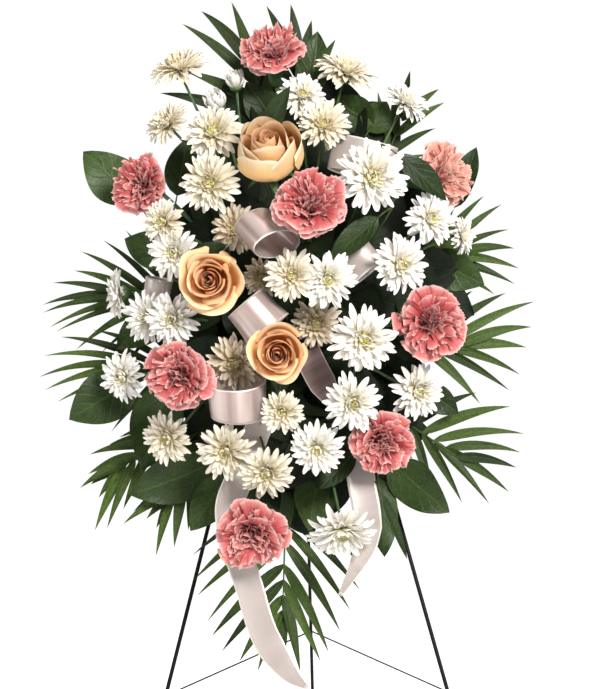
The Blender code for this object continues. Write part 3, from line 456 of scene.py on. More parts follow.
def mum_head(sheets, rng, centre, direction, diameter, droop, finish, warmth):
    head = Head(sheets, rng, centre, direction, diameter, -0.18)
    for ring in MUM_RINGS:
        mum_whorl(head, ring, rng.uniform(0, FULL_TURN), 0.07, droop, finish, warmth)
    for floret in range(FLORETS):
        out = math.sqrt(floret / FLORETS) * 0.17
        x, y = out * math.cos(floret * GOLDEN), out * math.sin(floret * GOLDEN)
        foot = np.array([x, y, 0.15 - out * 0.35])
        tall = unit([x * 1.6, y * 1.6, 1.0]) * rng.uniform(0.12, 0.19)
        path = [head.turn @ (foot + tall * share) * head.radius + head.base for share in (0.0, 0.7, 1.0)]
        tube(sheets, path, np.array([0.020, 0.028, 0.010]) * head.radius, 5, FLORET, rng.uniform(0, 1))
    head.cup(MUM_CUP, MUM_GREEN)
    return head.at(-0.40)


def mum_bud(sheets, rng, centre, direction, diameter):
    """A half-open bud: short upright petals in a green cup."""
    head = Head(sheets, rng, centre, direction, diameter, -0.7)
    for ring in BUD_RINGS:
        mum_whorl(head, ring, 0.0, 0.1)
    head.cup(BUD_CUP, MUM_GREEN)
    return head.at(-0.30)


# ---- material nodes
class Nodes:
    """A node tree, with short calls for what every material repeats."""

    def __init__(self, tree):
        self.tree = tree

    def add(self, kind, inputs=None, **settings):
        """A new node with these settings, and with a value or a link for each input in the dictionary."""
        node = self.tree.nodes.new("ShaderNode" + kind)
        for key, value in settings.items():
            setattr(node, key, value)
        for name, value in (inputs or {}).items():
            self.feed(node.inputs[name], value)
        return node

    def feed(self, socket, value):
        """A number or a colour is set on the socket; anything else is an output, linked to it."""
        if isinstance(value, (int, float)):
            socket.default_value = value
        elif isinstance(value, tuple):
            socket.default_value = (*value, 1.0)
        else:
            self.tree.links.new(value, socket)

    def surface(self, **values):
        """Feeds the shader; a name's underscores stand for spaces."""
        shader = self.tree.nodes["Principled BSDF"]
        for name, value in values.items():
            self.feed(shader.inputs[name.replace("_", " ")], value)

    def ramp(self, value, *stops):
        """Each stop is a place and a colour, or a number for a grey."""
        node = self.add("ValToRGB")
        while len(node.color_ramp.elements) < len(stops):
            node.color_ramp.elements.new(0.5)
        for element, (place, colour) in zip(node.color_ramp.elements, stops):
            element.position = place
            element.color = (*(colour if isinstance(colour, tuple) else (colour,) * 3), 1.0)
        self.feed(node.inputs["Fac"], value)
        return node.outputs["Color"]

    def maths(self, operation, first, second=0.0):
        return self.add("Math", {0: first, 1: second}, operation=operation).outputs[0]

    def times(self, first, second):
        return self.maths("MULTIPLY", first, second)

    def plus(self, first, second):
        return self.maths("ADD", first, second)

    def mix(self, share, first, second, blend="MIX"):
        node = self.add("Mix", data_type="RGBA", blend_type=blend)
        for name, value in (("Factor", share), ("A", first), ("B", second)):
            self.feed([item for item in node.inputs if item.name == name and item.enabled][0], value)
        return [item for item in node.outputs if item.enabled][0]

    def tinted(self, colour, tint):
        return self.mix(1.0, colour, tint, "MULTIPLY")

    def petal(self):
        """How far across and along its petal or leaf a point is, and the seed of that petal or leaf."""
        mark = self.add("Attribute", attribute_name="petal")
        parts = self.add("SeparateXYZ", {0: mark.outputs["Vector"]}).outputs
        return parts[0], parts[1], parts[2]

    def place(self):
        return self.add("TexCoord").outputs["Object"]

    def vector(self, x, y, z):
        return self.add("CombineXYZ", {0: x, 1: y, 2: z}).outputs[0]

    def noise(self, vector, scale, detail, roughness=0.55):
        inputs = {"Scale": scale, "Detail": detail, "Roughness": roughness, "Vector": vector}
        return self.add("TexNoise", inputs).outputs["Fac"]

    def bump(self, height, strength, distance):
        inputs = {"Strength": strength, "Distance": distance, "Height": height}
        return self.add("Bump", inputs).outputs["Normal"]


def new_material(name):
    made = bpy.data.materials.new(name)
    made.use_nodes = True
    return made, Nodes(made.node_tree)


# ---- petal and stem materials
def petal_material(name, stops, vein_depth, roughness, variation, tint=(1.0, 1.0, 1.0), heart=None):
    """Petal colour from base to edge, with fine veins along it; heart tints the petals with a low seed."""
    made, nodes = new_material(name)
    across, along, seed = nodes.petal()
    course = nodes.vector(nodes.times(across, 9.0), nodes.times(along, 0.9), nodes.times(seed, 40.0))
    streaks = nodes.noise(course, 1.6, 2.0)
    colour = nodes.ramp(along, *stops)
    colour = nodes.tinted(colour, nodes.ramp(streaks, (0.30, 1.0 - vein_depth), (0.68, 1.0)))
    faded = tuple(1.0 - variation * part for part in tint)
    colour = nodes.tinted(colour, nodes.ramp(nodes.noise(nodes.place(), 34.0, 2.0), (0.3, faded), (0.7, 1.0)))
    if heart:
        paler = tuple(part ** 0.5 for part in heart)
        colour = nodes.tinted(colour, nodes.ramp(seed, (0.0, heart), (0.45, paler), (0.9, 1.0)))
    nodes.surface(Base_Color=colour, Roughness=nodes.plus(nodes.times(streaks, 0.12), roughness - 0.06),
                  Normal=nodes.bump(streaks, min(0.35, 2.5 * vein_depth), 0.0006),
                  Specular_IOR_Level=0.28, Sheen_Weight=0.12)
    return made


def stem_material(name, dark, light):
    made, nodes = new_material(name)
    blotch = nodes.noise(nodes.place(), 90.0, 3.0)
    nodes.surface(Base_Color=nodes.ramp(blotch, (0.3, dark), (0.7, light)),
                  Roughness=nodes.plus(nodes.times(blotch, 0.2), 0.38),
                  Normal=nodes.bump(blotch, 0.3, 0.0008))
    return made


# In the coral petal the dark red over the lower part of each petal is painted shade deep in the head; the
# pale coral petal below darkens towards its base the same way, more lightly.
CORAL = petal_material("carnation_petal", (
    (0.0, (0.30, 0.34, 0.12)), (0.22, (0.29, 0.010, 0.018)), (0.58, (0.43, 0.036, 0.044)),
    (0.84, (0.56, 0.105, 0.105)), (0.940, (0.66, 0.205, 0.195)), (0.985, (0.80, 0.46, 0.43)),
    (1.0, (0.87, 0.59, 0.55))), vein_depth=0.24, roughness=0.62, variation=0.12, tint=(0.6, 1.0, 1.0))
PALE_CORAL = petal_material("carnation_petal_pale", (
    (0.0, (0.30, 0.34, 0.12)), (0.22, (0.50, 0.12, 0.09)), (0.60, (0.64, 0.21, 0.16)),
    (0.84, (0.72, 0.30, 0.235)), (0.955, (0.78, 0.38, 0.31)), (1.0, (0.90, 0.64, 0.54))),
    vein_depth=0.20, roughness=0.62, variation=0.10, tint=(0.6, 1.0, 1.0))
# In both rose petals the deeper orange low on each petal is partly the rose's own colour and partly painted
# shade in the crevices between the petals.
PEACH = petal_material("rose_petal", (
    (0.0, (0.84, 0.47, 0.18)), (0.40, (0.92, 0.50, 0.20)), (0.66, (0.90, 0.55, 0.26)),
    (0.84, (0.88, 0.59, 0.31)), (0.94, (0.89, 0.67, 0.41)), (1.0, (0.93, 0.79, 0.58))),
    vein_depth=0.06, roughness=0.46, variation=0.06, tint=(0.3, 0.8, 1.0), heart=(0.97, 0.70, 0.54))
PALE_PEACH = petal_material("rose_petal_pale", (
    (0.0, (0.70, 0.545, 0.205)), (0.35, (0.80, 0.47, 0.175)), (0.70, (0.83, 0.55, 0.255)),
    (0.88, (0.88, 0.66, 0.40)), (1.0, (0.94, 0.83, 0.63))),
    vein_depth=0.05, roughness=0.46, variation=0.06, tint=(0.3, 0.8, 1.0), heart=(0.95, 0.68, 0.50))
# The yellow-beige low on each mum petal is partly the petal's own colour and partly painted warm shade.
CREAM = petal_material("mum_petal", (
    (0.0, (0.78, 0.72, 0.32)), (0.18, (0.91, 0.865, 0.65)), (0.40, (0.945, 0.925, 0.85)),
    (0.70, (0.965, 0.955, 0.93)), (1.0, (0.975, 0.97, 0.96))),
    vein_depth=0.13, roughness=0.55, variation=0.08, tint=(0.4, 0.8, 1.5))
# A darker, tan copy of the mum petal for the heads set back in the spray: its darkness is painted shade.
RECESS_SHADE = petal_material("mum_petal_recess_shade", (
    (0.0, (0.42, 0.36, 0.12)), (0.25, (0.64, 0.53, 0.32)), (0.60, (0.75, 0.65, 0.49)),
    (1.0, (0.86, 0.80, 0.68))), vein_depth=0.18, roughness=0.58, variation=0.10, tint=(0.4, 0.9, 1.3))
# A dimmer, warmer copy of the mum petal for some heads, mostly at the top and bottom of the spray: partly
# their own cream tone and partly painted shade.
IVORY_AND_SHADE = petal_material("mum_petal_ivory_and_shade", (
    (0.0, (0.68, 0.60, 0.26)), (0.22, (0.83, 0.755, 0.53)), (0.55, (0.87, 0.81, 0.67)),
    (1.0, (0.92, 0.88, 0.79))), vein_depth=0.13, roughness=0.56, variation=0.07, tint=(0.4, 0.8, 1.4))
HEART = petal_material("mum_floret", (
    (0.0, (0.60, 0.57, 0.14)), (0.50, (0.82, 0.76, 0.24)), (1.0, (0.95, 0.88, 0.40))),
    vein_depth=0.15, roughness=0.60, variation=0.12)
CALYX = stem_material("calyx_green", (0.035, 0.080, 0.025), (0.085, 0.155, 0.050))
TWIG = stem_material("green_twig", (0.028, 0.052, 0.010), (0.065, 0.11, 0.022))
PETALS = {"coral": CORAL, "pale coral": PALE_CORAL, "peach": PEACH, "pale peach": PALE_PEACH}
MUM_MATERIALS = (CREAM, HEART, CALYX, RECESS_SHADE, IVORY_AND_SHADE)
MUM_FINISHES = {kind: MUM_MATERIALS.index(petals) for kind, petals in (
    ("mum", CREAM), ("recess shade", RECESS_SHADE), ("cream and shade", IVORY_AND_SHADE))}


# ---- flower pieces
CARNATION_STEM = 0.0022
ROSE_STEM = 0.0030
MUM_STEM = 0.0022
MUM_BRANCH = 0.0014
# The share of the way out to its head at which a stem starts, unless the foam ends first; how far in front
# of the plane it starts there, and how much less where the foam ends first.
STEM_SHARE = 0.8
STEM_START = 0.070
STEM_START_DROP = 0.026


def foam_point(target):
    """A point in the foam's face or side that a stem to the target would come from."""
    u, _, z = target
    v = (z - SPRAY_ORIGIN[2]) / UP[2]
    share = foam_share(u, v, STEM_SHARE)
    return spray_point(u * share, v * share, STEM_START - STEM_START_DROP * (1 - share / STEM_SHARE))


def stem(sheets, start, base, direction, radius, finish):
    """A stem that leaves the foam or a fork and comes up into the head's base along the head's direction."""
    span = np.linalg.norm(base - start)
    control = (base - direction * span * 0.45 + start) / 2
    sunk = start[1] - 0.006 + (control[2] - start[2]) * math.tan(FRONT_LEAN)
    control[1] = max(control[1], sunk)
    tube(sheets, bezier(start, control, base, 10), radius, STEM_SIDES, finish)


def shared_stem(sheets, ends, share, radius, sides, finish):
    """One stem from the foam towards the middle of the ends that it will branch to. Returns its fork."""
    middle = sum(ends) / len(ends)
    start = foam_point(middle)
    fork = start + (middle - start) * share
    twig(sheets, start, fork, 0.0, 4, radius, sides, finish)
    return fork


def finish_piece(piece, node=None):
    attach(piece, BODY)
    if node:
        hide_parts(node)


def make_single_flowers(name, flowers, make_head, stem_radius):
    """One flower to a stem; its facts are place, lean, diameter, petals and what its head also needs."""
    for number, (place, lean, diameter, petals, *more) in enumerate(flowers, 1):
        rng = np.random.default_rng(SEEDS[name] + number)
        sheets = Sheets()
        direction = facing(*lean)
        base = make_head(sheets, rng, place_point(place), direction, diameter, *more)
        stem(sheets, foam_point(base), base, direction, stem_radius, GREEN)
        piece = sheets.build(f"{name}_bloom_{number}", [PETALS[petals], CALYX])
        finish_piece(piece, f"{name}_{number}")


def make_mums():
    for number, heads in enumerate(MUM_SPRAYS, 1):
        rng = np.random.default_rng(SEEDS["mum"] + number)
        sheets = Sheets()
        bases = []
        for kind, place, lean, diameter in heads:
            direction = facing(*lean)
            centre = place_point(place)
            if kind == "bud":
                base = mum_bud(sheets, rng, centre, direction, diameter)
            else:
                droop = 10.0 * max(0.0, lean[1]) + rng.uniform(-5, 8)
                base = mum_head(sheets, rng, centre, direction, diameter, droop, MUM_FINISHES[kind],
                                rng.uniform(0.9, 1.05))
            bases.append((base, direction))
        fork = shared_stem(sheets, [base for base, _ in bases], 0.30, MUM_STEM, STEM_SIDES, MUM_GREEN)
        for base, direction in bases:
            stem(sheets, fork, base, direction, MUM_BRANCH, MUM_GREEN)
        finish_piece(sheets.build(f"mum_blooms_{number}", MUM_MATERIALS), f"mum_spray_{number}")


# ---- leaf materials
def leaf_material(name, dark, light, rib, gloss, side_veins=6.0, slant=1.9, rib_share=0.24, vein_share=0.10):
    """A waxy leaf, blotched green, with slanting side veins and a paler midrib."""
    made, nodes = new_material(name)
    across, along, seed = nodes.petal()
    out = nodes.maths("ABSOLUTE", across)
    course = nodes.maths("SUBTRACT", nodes.times(along, side_veins), nodes.times(out, slant))
    wobble = nodes.times(nodes.noise(nodes.vector(across, along, seed), 5.0, 2.0), 0.35)
    line = nodes.maths("ABSOLUTE", nodes.maths("SINE", nodes.times(nodes.plus(course, wobble), math.pi)))
    veins = nodes.ramp(line, (0.0, 1.0), (0.16, 0.25), (0.40, 0.0))
    midrib = nodes.ramp(out, (0.0, 1.0), (0.03, 0.8), (0.07, 0.0))
    blotch = nodes.noise(nodes.place(), 26.0, 4.0, 0.6)
    shade = nodes.plus(nodes.times(seed, 0.55), nodes.times(blotch, 0.55))
    grain = nodes.noise(nodes.place(), 420.0, 2.0, 0.6)
    green = nodes.ramp(shade, (0.2, dark), (0.85, light))
    green = nodes.tinted(green, nodes.ramp(grain, (0.35, 0.62), (0.62, 1.0)))
    green = nodes.mix(nodes.times(veins, vein_share), green, rib)
    green = nodes.mix(nodes.times(midrib, rib_share), green, rib)
    height = nodes.maths("SUBTRACT", nodes.times(grain, 0.9), nodes.plus(veins, midrib))
    nodes.surface(Base_Color=green, Roughness=nodes.plus(nodes.times(blotch, 0.22), gloss),
                  Normal=nodes.bump(height, 0.40, 0.0007), Specular_IOR_Level=0.24)
    return made


PALM_VEINS = {"side_veins": 0.0, "slant": 9.0, "rib_share": 0.35, "vein_share": 0.30}
SALAL = leaf_material("salal_leaf", (0.009, 0.020, 0.004), (0.049, 0.090, 0.020), (0.11, 0.165, 0.05), 0.30)
# Near-black green for the leaves between the foam and the heads and on the foam's face: the darkness is
# painted shade.
PAINTED_SHADE_LEAF = leaf_material("inner_leaf_painted_shade", (0.0025, 0.007, 0.0015), (0.011, 0.025, 0.004), (0.024, 0.044, 0.012),
                     0.48)
PALM = leaf_material("palm_leaflet", (0.010, 0.024, 0.004), (0.080, 0.140, 0.022), (0.15, 0.225, 0.06), 0.33,
                     **PALM_VEINS)
SHADED_PALM = leaf_material("palm_leaflet_shaded", (0.008, 0.018, 0.004), (0.048, 0.080, 0.016),
                            (0.10, 0.14, 0.045), 0.36, **PALM_VEINS)


# ---- foliage data
# Palm fronds: number, tip (x, z), half width, distance in front of the easel's plane, share of the way to the
# tip that the midrib reaches, pairs of leaflets and a leaflet's half width.
FRONDS = (
    (3, (0.127, 1.240), 0.046, 0.026, 0.78, 7, 0.0042), (6, (-0.215, 0.832), 0.045, 0.019, 0.82, 8, 0.0050),
    (7, (-0.148, 0.806), 0.042, 0.026, 0.84, 7, 0.0050),
)
# The other fronds fan out: number, foot and head of the midrib (x, z), distance in front of the plane, a
# leaflet's half width, then each leaflet's tip (x, z) from one side of the head round to the other.
FANS = (
    (1, (0.010, 1.170), (0.000, 1.262), 0.019, 0.0062,
     ((-0.046, 1.236), (-0.040, 1.262), (-0.030, 1.320), (-0.003, 1.318), (0.016, 1.303), (0.037, 1.282),
      (0.058, 1.252))),
    (2, (-0.022, 1.160), (-0.046, 1.258), 0.026, 0.0066,
     ((-0.140, 1.232), (-0.119, 1.250), (-0.1165, 1.299), (-0.0955, 1.320), (-0.0655, 1.325), (-0.022, 1.268),
      (-0.008, 1.236))),
    (4, (-0.098, 1.008), (-0.178, 1.022), 0.019, 0.0042,
     ((-0.180, 1.088), (-0.200, 1.081), (-0.227, 1.069), (-0.234, 1.052), (-0.254, 1.036), (-0.266, 1.020),
      (-0.265, 1.008), (-0.258, 0.996), (-0.250, 0.985), (-0.232, 0.974), (-0.204, 0.962), (-0.180, 0.954))),
    (5, (-0.098, 0.958), (-0.176, 0.952), 0.026, 0.0043,
     ((-0.176, 1.000), (-0.211, 0.991), (-0.248, 0.980), (-0.263, 0.965), (-0.268, 0.948), (-0.262, 0.929),
      (-0.248, 0.913), (-0.226, 0.901), (-0.195, 0.887))),
    (8, (-0.015, 0.880), (-0.023, 0.692), 0.019, 0.0052,
     ((-0.113, 0.762), (-0.112, 0.738), (-0.108, 0.716), (-0.102, 0.696), (-0.094, 0.678), (-0.083, 0.664),
      (-0.068, 0.655), (-0.050, 0.648), (-0.024, 0.644), (-0.005, 0.646), (0.012, 0.654), (0.027, 0.666),
      (0.038, 0.684), (0.047, 0.704), (0.054, 0.724), (0.058, 0.746))),
    (9, (0.088, 0.905), (0.158, 0.856), 0.026, 0.0049,
     ((0.176, 0.922), (0.213, 0.904), (0.224, 0.880), (0.221, 0.862), (0.216, 0.845), (0.209, 0.820),
      (0.186, 0.806), (0.161, 0.812), (0.134, 0.816))),
    (10, (0.098, 0.972), (0.166, 0.966), 0.019, 0.0049,
     ((0.176, 1.026), (0.207, 1.021), (0.241, 1.009), (0.237, 0.985), (0.231, 0.962), (0.223, 0.937),
      (0.211, 0.919), (0.183, 0.911))),
    (11, (0.098, 1.046), (0.164, 1.062), 0.026, 0.0047,
     ((0.160, 1.118), (0.186, 1.118), (0.209, 1.111), (0.214, 1.086), (0.220, 1.064), (0.224, 1.043),
      (0.219, 1.027), (0.198, 1.018), (0.172, 1.010))),
)
LEAFLET_NET = (7, 13)
LEAF_NET = (11, 15)
MIDRIB_RADII = (0.0017, 0.0006)
SPINE_POINTS = 26
# A frond's first and last pairs of leaflets, as shares of its midrib.
FIRST_PAIR = 0.16
LAST_PAIR = 0.95
# A fan whose head is above this height is in shade.
FAN_SHADE_HEIGHT = 1.2
# Sprigs of broad leaves: base (x, z), tip (x, z) and width of each leaf.
SPRIGS = (
    (((-0.165, 1.118), (-0.217, 1.172), 0.046), ((-0.124, 1.125), (-0.112, 1.183), 0.032)),
    (((-0.020, 1.190), (-0.050, 1.240), 0.034), ((0.012, 1.222), (0.024, 1.288), 0.032)),
    (((0.078, 1.192), (0.034, 1.220), 0.034), ((0.072, 1.186), (0.092, 1.216), 0.030)),
    (((0.158, 1.108), (0.184, 1.168), 0.026), ((0.130, 1.060), (0.186, 1.028), 0.038)),
    (((-0.130, 1.060), (-0.178, 1.083), 0.036), ((-0.140, 1.005), (-0.188, 0.975), 0.034)),
    (((-0.170, 0.942), (-0.234, 0.900), 0.048), ((-0.135, 0.935), (-0.164, 0.852), 0.048)),
    (((-0.090, 0.858), (-0.172, 0.824), 0.046), ((-0.078, 0.845), (-0.112, 0.790), 0.034)),
    (((0.016, 0.848), (0.006, 0.788), 0.040), ((0.076, 0.840), (0.080, 0.762), 0.032),
     ((-0.020, 0.832), (-0.026, 0.778), 0.030)),
    (((0.088, 0.856), (0.147, 0.806), 0.042), ((0.122, 0.930), (0.158, 0.902), 0.026)),
)
# Leaves that stand forward among the flowers: base and tip (x, y from the hinge, z) and width.
FORWARD_LEAVES = (
    ((0.080, -0.165, 1.106), (0.030, -0.172, 1.064), 0.026),
    ((0.100, -0.150, 1.166), (0.150, -0.142, 1.122), 0.025),
    ((-0.030, -0.150, 1.186), (-0.006, -0.165, 1.236), 0.022),
    ((0.052, -0.150, 0.872), (0.018, -0.170, 0.838), 0.026),
    ((-0.110, -0.150, 1.060), (-0.070, -0.150, 1.084), 0.024),
    ((0.078, -0.160, 0.834), (0.104, -0.166, 0.768), 0.010),
)
# The filler: leaves between the foam and the heads, and leaves close on the foam's face.
FILLER_PIECES = 4
FILLER_LEAVES = 132
FILLER_HALF_WIDTH = 0.175
FILLER_LOW = 0.805
FILLER_HIGH = 1.245
# Past these the filler's leaves are drawn in, so that its corners stay rounded.
FILLER_CORNER_WIDTH = 0.135
FILLER_CORNER_HEIGHT = 0.26
FOAM_LEAVES = 40
FOAM_LEAF_SPREAD = (0.070, 0.120)
FOAM_LEAF_DEPTH = 0.086
# Radii of the stem of a sprig, of the twig to one leaf, and along a leaf's own stalk.
SPRIG_STEM = 0.0014
LEAF_TWIG = 0.0010
PETIOLE_RADII = (0.0011, 0.0009, 0.0006)


# ---- palm fronds
def leaflet(sheets, rng, base, way, length, half_width, seed):
    """One folded, pointed leaflet that droops at its tip."""
    s, t = net(*LEAFLET_NET)
    turn = Matrix.Rotation(rng.uniform(-0.55, 0.55), 3, Vector(way))
    normal = unit(np.array(turn @ Vector(OUT)))
    across = unit(np.cross(normal, way))
    width = half_width * (0.20 * (1 - t) + 0.97 * np.sin(math.pi * t ** 0.66) ** 0.9)
    sickle = rng.uniform(-0.05, 0.05) * length * t ** 2
    fold = 0.34 * np.abs(s) * width
    wave = 0.05 * half_width * np.sin(9.0 * t + rng.uniform(*PHASES)) * np.abs(s)
    sag = length * (0.07 + 0.13 * abs(way[0]) + rng.uniform(-0.02, 0.04)) * t ** 2.3
    back = length * rng.uniform(-0.10, 0.10) * t ** 2
    middle = base + way * length * t + OUT * back - UPRIGHT * sag
    sheets.grid(middle[:, None] + across * (s * width + sickle)[..., None]
                + normal * (fold + wave)[..., None], BLADE, seed)


def frond(number, tip_place, half_width, layer, spine_share, pairs, blade):
    """A palm frond with paired leaflets along its midrib and two at its tip."""
    rng = np.random.default_rng(SEEDS["palm"] + number)
    sheets = Sheets()
    tip_u, tip_v = front_plane(*tip_place, layer)
    inside = foam_share(tip_u, tip_v, 0.9)
    start = spray_point(tip_u * inside, tip_v * inside, layer)
    end = start + (spray_point(tip_u, tip_v, layer + 0.016) - start) * spine_share
    spine = bezier(start, (start + end) / 2 + OUT * 0.006, end, SPINE_POINTS)
    midrib = spine[:-2]
    tube(sheets, midrib, np.linspace(*MIDRIB_RADII, len(midrib)), TWIG_SIDES, GREEN)
    for step in range(pairs):
        share = step / (pairs - 1)
        for side in (-1, 1):
            stagger = 0.05 if side > 0 else 0.0
            place = FIRST_PAIR + (LAST_PAIR - FIRST_PAIR) * (share + stagger) + rng.uniform(-0.015, 0.015)
            at = min(place, 0.985) * (SPINE_POINTS - 1)
            low = int(at)
            base = spine[low] + (spine[low + 1] - spine[low]) * (at - low)
            along = unit(spine[low + 1] - spine[max(low - 1, 0)])
            angle = math.radians(53 - 31 * share + rng.uniform(-7, 7))
            across = unit(np.cross(OUT, along)) * side
            way = unit(along * math.cos(angle) + across * math.sin(angle) + OUT * rng.uniform(-0.10, 0.14))
            size = half_width * (0.86 + 0.56 * math.sin(math.pi * (0.12 + 0.60 * share)))
            size *= rng.uniform(0.85, 1.15)
            leaflet(sheets, rng, base, way, size, blade * rng.uniform(0.85, 1.15), rng.uniform(0, 1))
    along = unit(spine[-1] - spine[-3])
    across = unit(np.cross(OUT, along))
    for angle in (-0.22, 0.14):
        way = unit(along * math.cos(angle) + across * math.sin(angle))
        leaflet(sheets, rng, spine[-2], way, half_width * 0.85, blade, rng.uniform(0, 1))
    finish_piece(sheets.build(f"palm_leaves_{number}", [PALM, TWIG]), f"palm_frond_{number}")


def fan(number, foot, head, layer, blade, tips):
    """A palm frond whose leaflets spread from a short midrib to the given tips."""
    rng = np.random.default_rng(SEEDS["palm"] + number)
    sheets = Sheets()
    start = spray_point(*front_plane(*foot, layer), layer)
    end = spray_point(*front_plane(*head, layer), layer + 0.012)
    spine = bezier(start, (start + end) / 2 + OUT * 0.004, end, SPINE_POINTS)
    midrib = spine[:-1]
    tube(sheets, midrib, np.linspace(*MIDRIB_RADII, len(midrib)), TWIG_SIDES, GREEN)
    top = (len(tips) - 1) / 2
    for order, tip in enumerate(tips):
        base = spine[round((0.30 + 0.68 * (1 - abs(order - top) / top)) * (SPINE_POINTS - 1))]
        reach = spray_point(*front_plane(*tip, layer), layer + 0.010 + rng.uniform(-0.004, 0.008)) - base
        aim = reach + UP * (0.08 * np.linalg.norm(reach) + 0.13 * abs(reach[0]))
        leaflet(sheets, rng, base, unit(aim), np.linalg.norm(aim), blade * rng.uniform(0.88, 1.10),
                rng.uniform(0, 1))
    green = SHADED_PALM if end[2] > FAN_SHADE_HEIGHT else PALM
    finish_piece(sheets.build(f"palm_leaves_{number}", [green, TWIG]), f"palm_frond_{number}")


# ---- broad leaves
def broad_leaf(sheets, rng, base, tip, width, seed, petiole=0.018):
    """A pointed oval leaf, folded along its midrib and waved along its edges. Returns its petiole's foot."""
    s, t = net(*LEAF_NET)
    length = np.linalg.norm(tip - base)
    way = (tip - base) / length
    turn = Matrix.Rotation(rng.uniform(-0.45, 0.45), 3, Vector(way))
    normal = np.array(turn @ Vector(unit(OUT - way * np.dot(OUT, way))))
    across = np.cross(normal, way)
    half = width / 2 * np.sin(math.pi * t ** 0.80) ** 0.78 * (1 - 0.10 * smooth((t - 0.75) / 0.25))
    fold = rng.uniform(0.10, 0.26) * np.abs(s) * half
    arch = -length * rng.uniform(0.05, 0.16) * ((t - 0.35) ** 2 - 0.12)
    ripple = rng.uniform(6.5, 9.0) * t + rng.uniform(*PHASES) + np.sign(s) * rng.uniform(0.4, 1.6)
    wave = 0.055 * width * np.abs(s) ** 1.6 * np.sin(ripple)
    bend = rng.uniform(-0.05, 0.05) * length * t ** 2
    points = ((base + way * length * t)[:, None] + across * (s * half + bend)[..., None]
              + normal * (fold + arch + wave)[..., None])
    sheets.grid(points, BLADE, seed)
    foot = points[0, s.size // 2]
    end = foot - way * petiole - normal * petiole * 0.4
    stalk = [end, foot - way * petiole * 0.4, foot + way * 0.004]
    tube(sheets, stalk, PETIOLE_RADII, 6, GREEN)
    return end


def sprig(number, leaves):
    rng = np.random.default_rng(SEEDS["sprig"] + number)
    sheets = Sheets()
    layer = 0.040 + 0.005 * (number % 2)
    feet = []
    for base_place, tip_place, width in leaves:
        ends = []
        for place in (base_place, tip_place):
            u, v = front_plane(*place, layer)
            ends.append(spray_point(u, v, layer + 0.08 * max(0.0, math.hypot(u, v) - 0.07)))
        feet.append(broad_leaf(sheets, rng, *ends, width * 1.12, rng.uniform(0.2, 1.0)))
    fork = shared_stem(sheets, feet, 0.4, SPRIG_STEM, TWIG_SIDES, GREEN)
    for foot in feet:
        twig(sheets, fork, foot, OUT * 0.004, 7, LEAF_TWIG, TWIG_SIDES, GREEN)
    finish_piece(sheets.build(f"salal_leaves_{number}", [SALAL, TWIG]), f"leaf_sprig_{number}")


def outward_way(angle, out):
    return unit(ACROSS * math.cos(angle) + UP * math.sin(angle) + OUT * out)


def filler():
    """Leaves painted a near-black green as shade, which fill the spray between the foam and the flower heads,
    spread by the golden angle.
    """
    middle_z = (FILLER_LOW + FILLER_HIGH) / 2
    for part in range(FILLER_PIECES):
        rng = np.random.default_rng(SEEDS["filler"] + part)
        sheets = Sheets()
        for leaf in range(part, FILLER_LEAVES, FILLER_PIECES):
            share = math.sqrt((leaf + 0.5) / FILLER_LEAVES)
            turn = leaf * GOLDEN
            x = FILLER_HALF_WIDTH * share * math.cos(turn)
            z = middle_z + (FILLER_HIGH - FILLER_LOW) / 2 * share * math.sin(turn)
            if abs(x) > FILLER_CORNER_WIDTH * (1.18 - abs(z - middle_z) / FILLER_CORNER_HEIGHT):
                x *= 0.72
            depth = 0.092 - 0.056 * share ** 1.6 + rng.uniform(-0.006, 0.006)
            middle = spray_point(*front_plane(x, z, depth), depth)
            way = outward_way(turn + rng.uniform(-0.8, 0.8), -0.10 * share)
            length = rng.uniform(0.056, 0.078)
            broad_leaf(sheets, rng, middle - way * length * 0.5, middle + way * length * 0.5,
                       length * rng.uniform(0.56, 0.70), rng.uniform(0, 1), 0.012)
        for leaf in range(part, FOAM_LEAVES, FILLER_PIECES):
            share = math.sqrt((leaf + 0.5) / FOAM_LEAVES)
            turn = leaf * GOLDEN
            u, v = (spread * share for spread in FOAM_LEAF_SPREAD)
            middle = spray_point(u * math.cos(turn), v * math.sin(turn),
                                 FOAM_LEAF_DEPTH + rng.uniform(-0.004, 0.004))
            way = outward_way(turn + rng.uniform(-1.2, 1.2), 0.05)
            broad_leaf(sheets, rng, middle - way * 0.030, middle + way * 0.034, 0.040,
                       rng.uniform(0, 1), 0.010)
        finish_piece(sheets.build(f"inner_leaves_{part + 1}", [PAINTED_SHADE_LEAF, TWIG]))


def forward_leaves():
    rng = np.random.default_rng(SEEDS["forward"])
    sheets = Sheets()
    for base, tip, width in FORWARD_LEAVES:
        foot = broad_leaf(sheets, rng, place_point(base), place_point(tip), width, rng.uniform(0, 0.6))
        twig(sheets, foam_point(foot), foot, UP * -0.01, 7, LEAF_TWIG, TWIG_SIDES, GREEN)
    finish_piece(sheets.build("forward_leaves", [SALAL, TWIG]))


def make_foliage():
    forward_leaves()
    for facts in FRONDS:
        frond(*facts)
    for facts in FANS:
        fan(*facts)
    for number, leaves in enumerate(SPRIGS, 1):
        sprig(number, leaves)
    filler()


